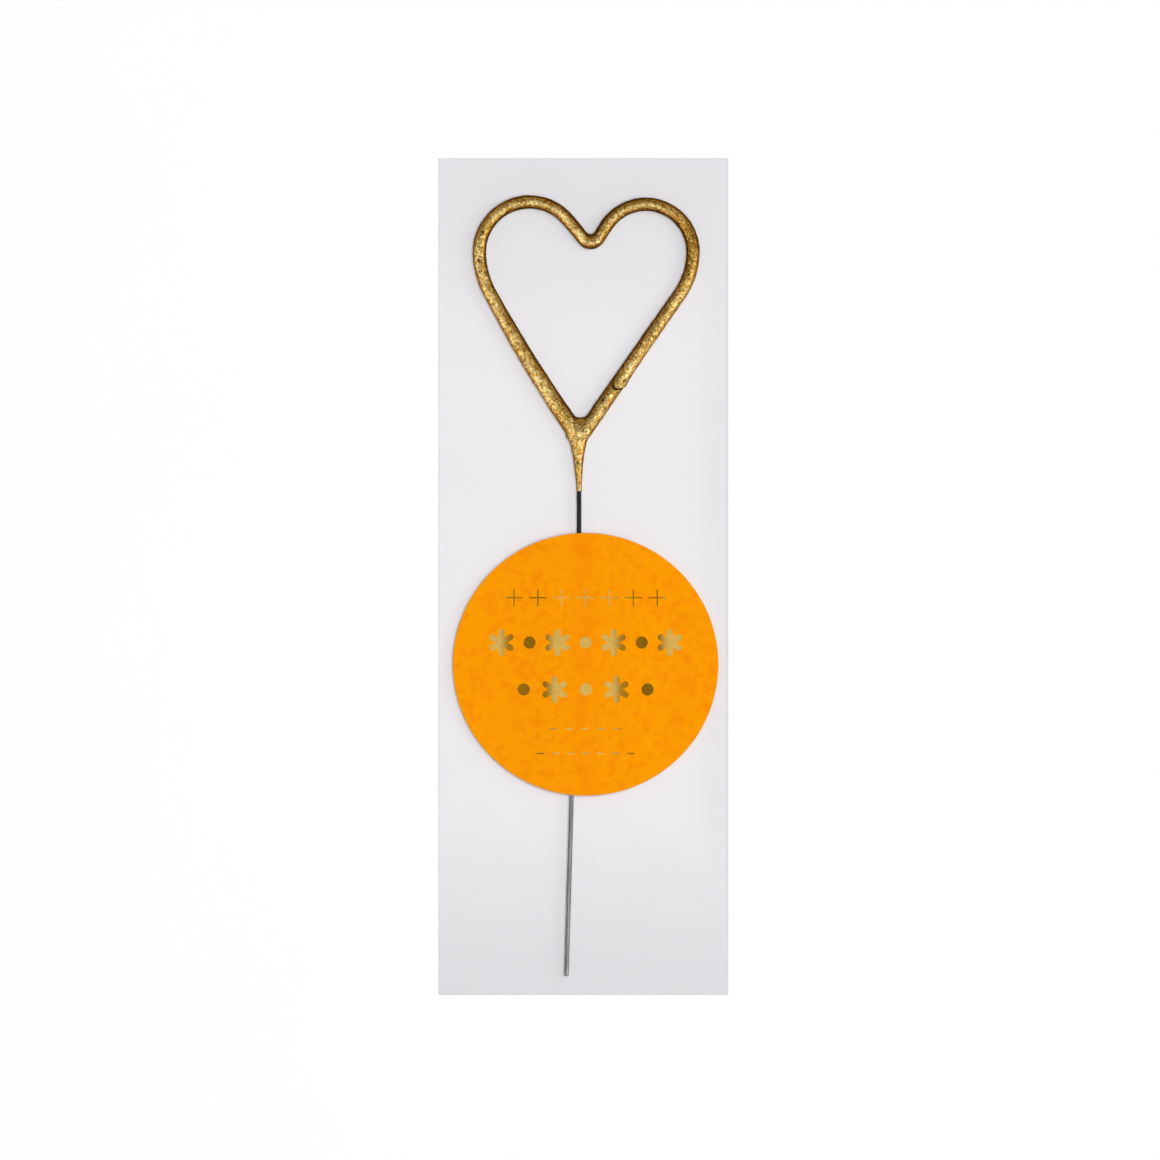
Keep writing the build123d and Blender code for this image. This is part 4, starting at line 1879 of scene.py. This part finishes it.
@dataclass(frozen=True)
class Softbox:
    """A soft lamp that faces the card.

    Attributes:
        name: name of the lamp.
        place: where it hangs.
        width: its width.
        height: its height.
        glow: how bright its face is, where 1 shows as white.
        reach: surfaces that it is for.
    """

    name: str
    place: Place
    width: float
    height: float
    glow: float
    reach: Reach

    def hang(self) -> None:
        """Hangs the lamp and turns it to the card."""
        lamp = bpy.data.lights.new(self.name, "AREA")
        lamp.shape = "RECTANGLE"
        lamp.size = self.width
        lamp.size_y = self.height
        lamp.energy = self.glow * math.pi * self.width * self.height
        holder = bpy.data.objects.new(self.name, lamp)
        holder.location = self.place
        holder.rotation_euler = (-Vector(self.place)).to_track_quat("-Z", "Y").to_euler()
        holder.visible_camera = False
        holder.visible_diffuse = self.reach is Reach.MATT
        holder.visible_glossy = self.reach is Reach.GLOSS
        bpy.context.scene.collection.objects.link(holder)


@dataclass
class Studio:
    """Table, lamps, surround and camera.

    Attributes:
        image_pixels: side of the photograph.
        card_middle_pixels: place of the card's middle in it, from its left and top.
        card_length_pixels: length of the card in it.
        lens: focal length of the camera, in Blender's millimetres.
        sensor: width of its sensor, in the same.
        floor_size: side of the table.
        floor_gap: how far the table lies below the card, so that the two don't flicker.
        floor_finish: finish of the table.
        surround: brightness of the room towards the heart's end and towards the stem's.
        far_wall: how much brighter the low wall at the heart's end is, as the metal mirrors it.
        wall_along: how far along the card, as a direction, that wall starts and is brightest.
        wall_up: how far up it ends, and from where down it is brightest.
        lamps: the soft lamps.
    """

    image_pixels: float = 1160.0
    card_middle_pixels: Pair = (583.7, 576.6)
    card_length_pixels: float = 836.7
    lens: float = 400.0
    sensor: float = 36.0
    floor_size: float = 8.0
    floor_gap: float = 0.2 * MM
    floor_finish: StudioFloor = field(default_factory=StudioFloor)
    surround: Pair = (0.15, 0.2)
    far_wall: float = 0.4
    wall_along: Pair = (0.1, 0.8)
    wall_up: Pair = (0.75, 0.4)
    lamps: tuple[Softbox, ...] = (
        Softbox("front_panel", (0.2, 0.05, 3.0), 1.0, 1.0, 21.0, Reach.MATT),
        Softbox("right_panel", (1.5, 0.1, 1.6), 1.0, 1.0, 2.1, Reach.MATT),
        Softbox("right_glint", (1.7, -0.55, 1.38), 1.0, 1.0, 6.8, Reach.GLOSS),
        Softbox("left_glint", (-1.55, -0.8, 1.3), 0.9, 0.9, 6.2, Reach.GLOSS),
        Softbox("low_glint", (0.0, -0.75, 3.0), 1.0, 0.8, 7.5, Reach.GLOSS),
        Softbox("top_glint", (0.0, 0.0, 2.2), 0.3, 0.3, 1.0, Reach.GLOSS),
    )

    def lay_floor(self) -> None:
        """Lays the table just under the card."""
        half = self.floor_size / 2
        level = CAD_BOX[0].z - self.floor_gap
        corners = [(-half, -half, level), (half, -half, level), (half, half, level), (-half, half, level)]
        mesh = bpy.data.meshes.new("table_top")
        mesh.from_pydata(corners, [], [(0, 1, 2, 3)])
        mesh.materials.append(self.floor_finish.material())
        floor = bpy.data.objects.new("table_top", mesh)
        bpy.context.scene.collection.objects.link(floor)

    def light_room(self) -> None:
        """Sets the brightness of the surround and of the low far wall that only the metal mirrors."""
        world = bpy.data.worlds.new("studio_room")
        world.use_nodes = True
        bpy.context.scene.world = world
        room = Nodes(world.node_tree)
        towards = room.add("ShaderNodeTexCoord").outputs["Generated"]
        split = room.add("ShaderNodeSeparateXYZ", {0: towards}).outputs
        ends = {"From Min": 1.0, "From Max": -1.0, "To Min": self.surround[0], "To Max": self.surround[1]}
        around = room.add("ShaderNodeMapRange", {"Value": split["Y"], **ends}).outputs["Result"]
        mirrored = room.add("ShaderNodeLightPath").outputs["Is Glossy Ray"]
        along = room.maths("MULTIPLY", mirrored, room.step(split["Y"], *self.wall_along))
        wall = room.maths("MULTIPLY", along, room.step(split["Z"], *self.wall_up))
        background = world.node_tree.nodes["Background"]
        strength = room.maths("ADD", around, room.maths("MULTIPLY", wall, self.far_wall))
        room.feed(background.inputs["Strength"], strength)
        room.feed(background.inputs["Color"], PLAIN_WHITE)

    def set_camera(self) -> None:
        """Sets the camera straight above the card, framed as the photograph is."""
        low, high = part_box("backing_card")
        pixel = (high.y - low.y) / self.card_length_pixels
        middle = self.image_pixels / 2
        camera = bpy.data.cameras.new("camera")
        camera.lens = self.lens
        camera.sensor_width = self.sensor
        camera.clip_start = 0.01
        holder = bpy.data.objects.new("camera", camera)
        holder.location = (
            (middle - self.card_middle_pixels[0]) * pixel,
            (self.card_middle_pixels[1] - middle) * pixel,
            high.z + self.image_pixels * pixel * self.lens / self.sensor,
        )
        bpy.context.scene.collection.objects.link(holder)
        bpy.context.scene.camera = holder

    def build(self) -> None:
        """Builds the whole studio."""
        bpy.context.scene.view_settings.view_transform = "Standard"
        self.lay_floor()
        self.light_room()
        for lamp in self.lamps:
            lamp.hang()
        self.set_camera()
        LOG.info("studio with %d lamps", len(self.lamps))


def main() -> None:
    """Builds the studio and every piece of the carded sparkler."""
    logging.basicConfig(level=logging.INFO, format="%(name)s: %(message)s")
    Studio().build()
    BackingCard().build()
    for node in ("foam_pad_left", "foam_pad_right"):
        FoamPad(node).build()
    label = PaperLabel()
    label.build()
    FoilPrint(label).build()
    wire = BentWire()
    wire.build()
    SparkCore().build()
    GoldCoat(wire).build()


if __name__ == "__main__":
    main()
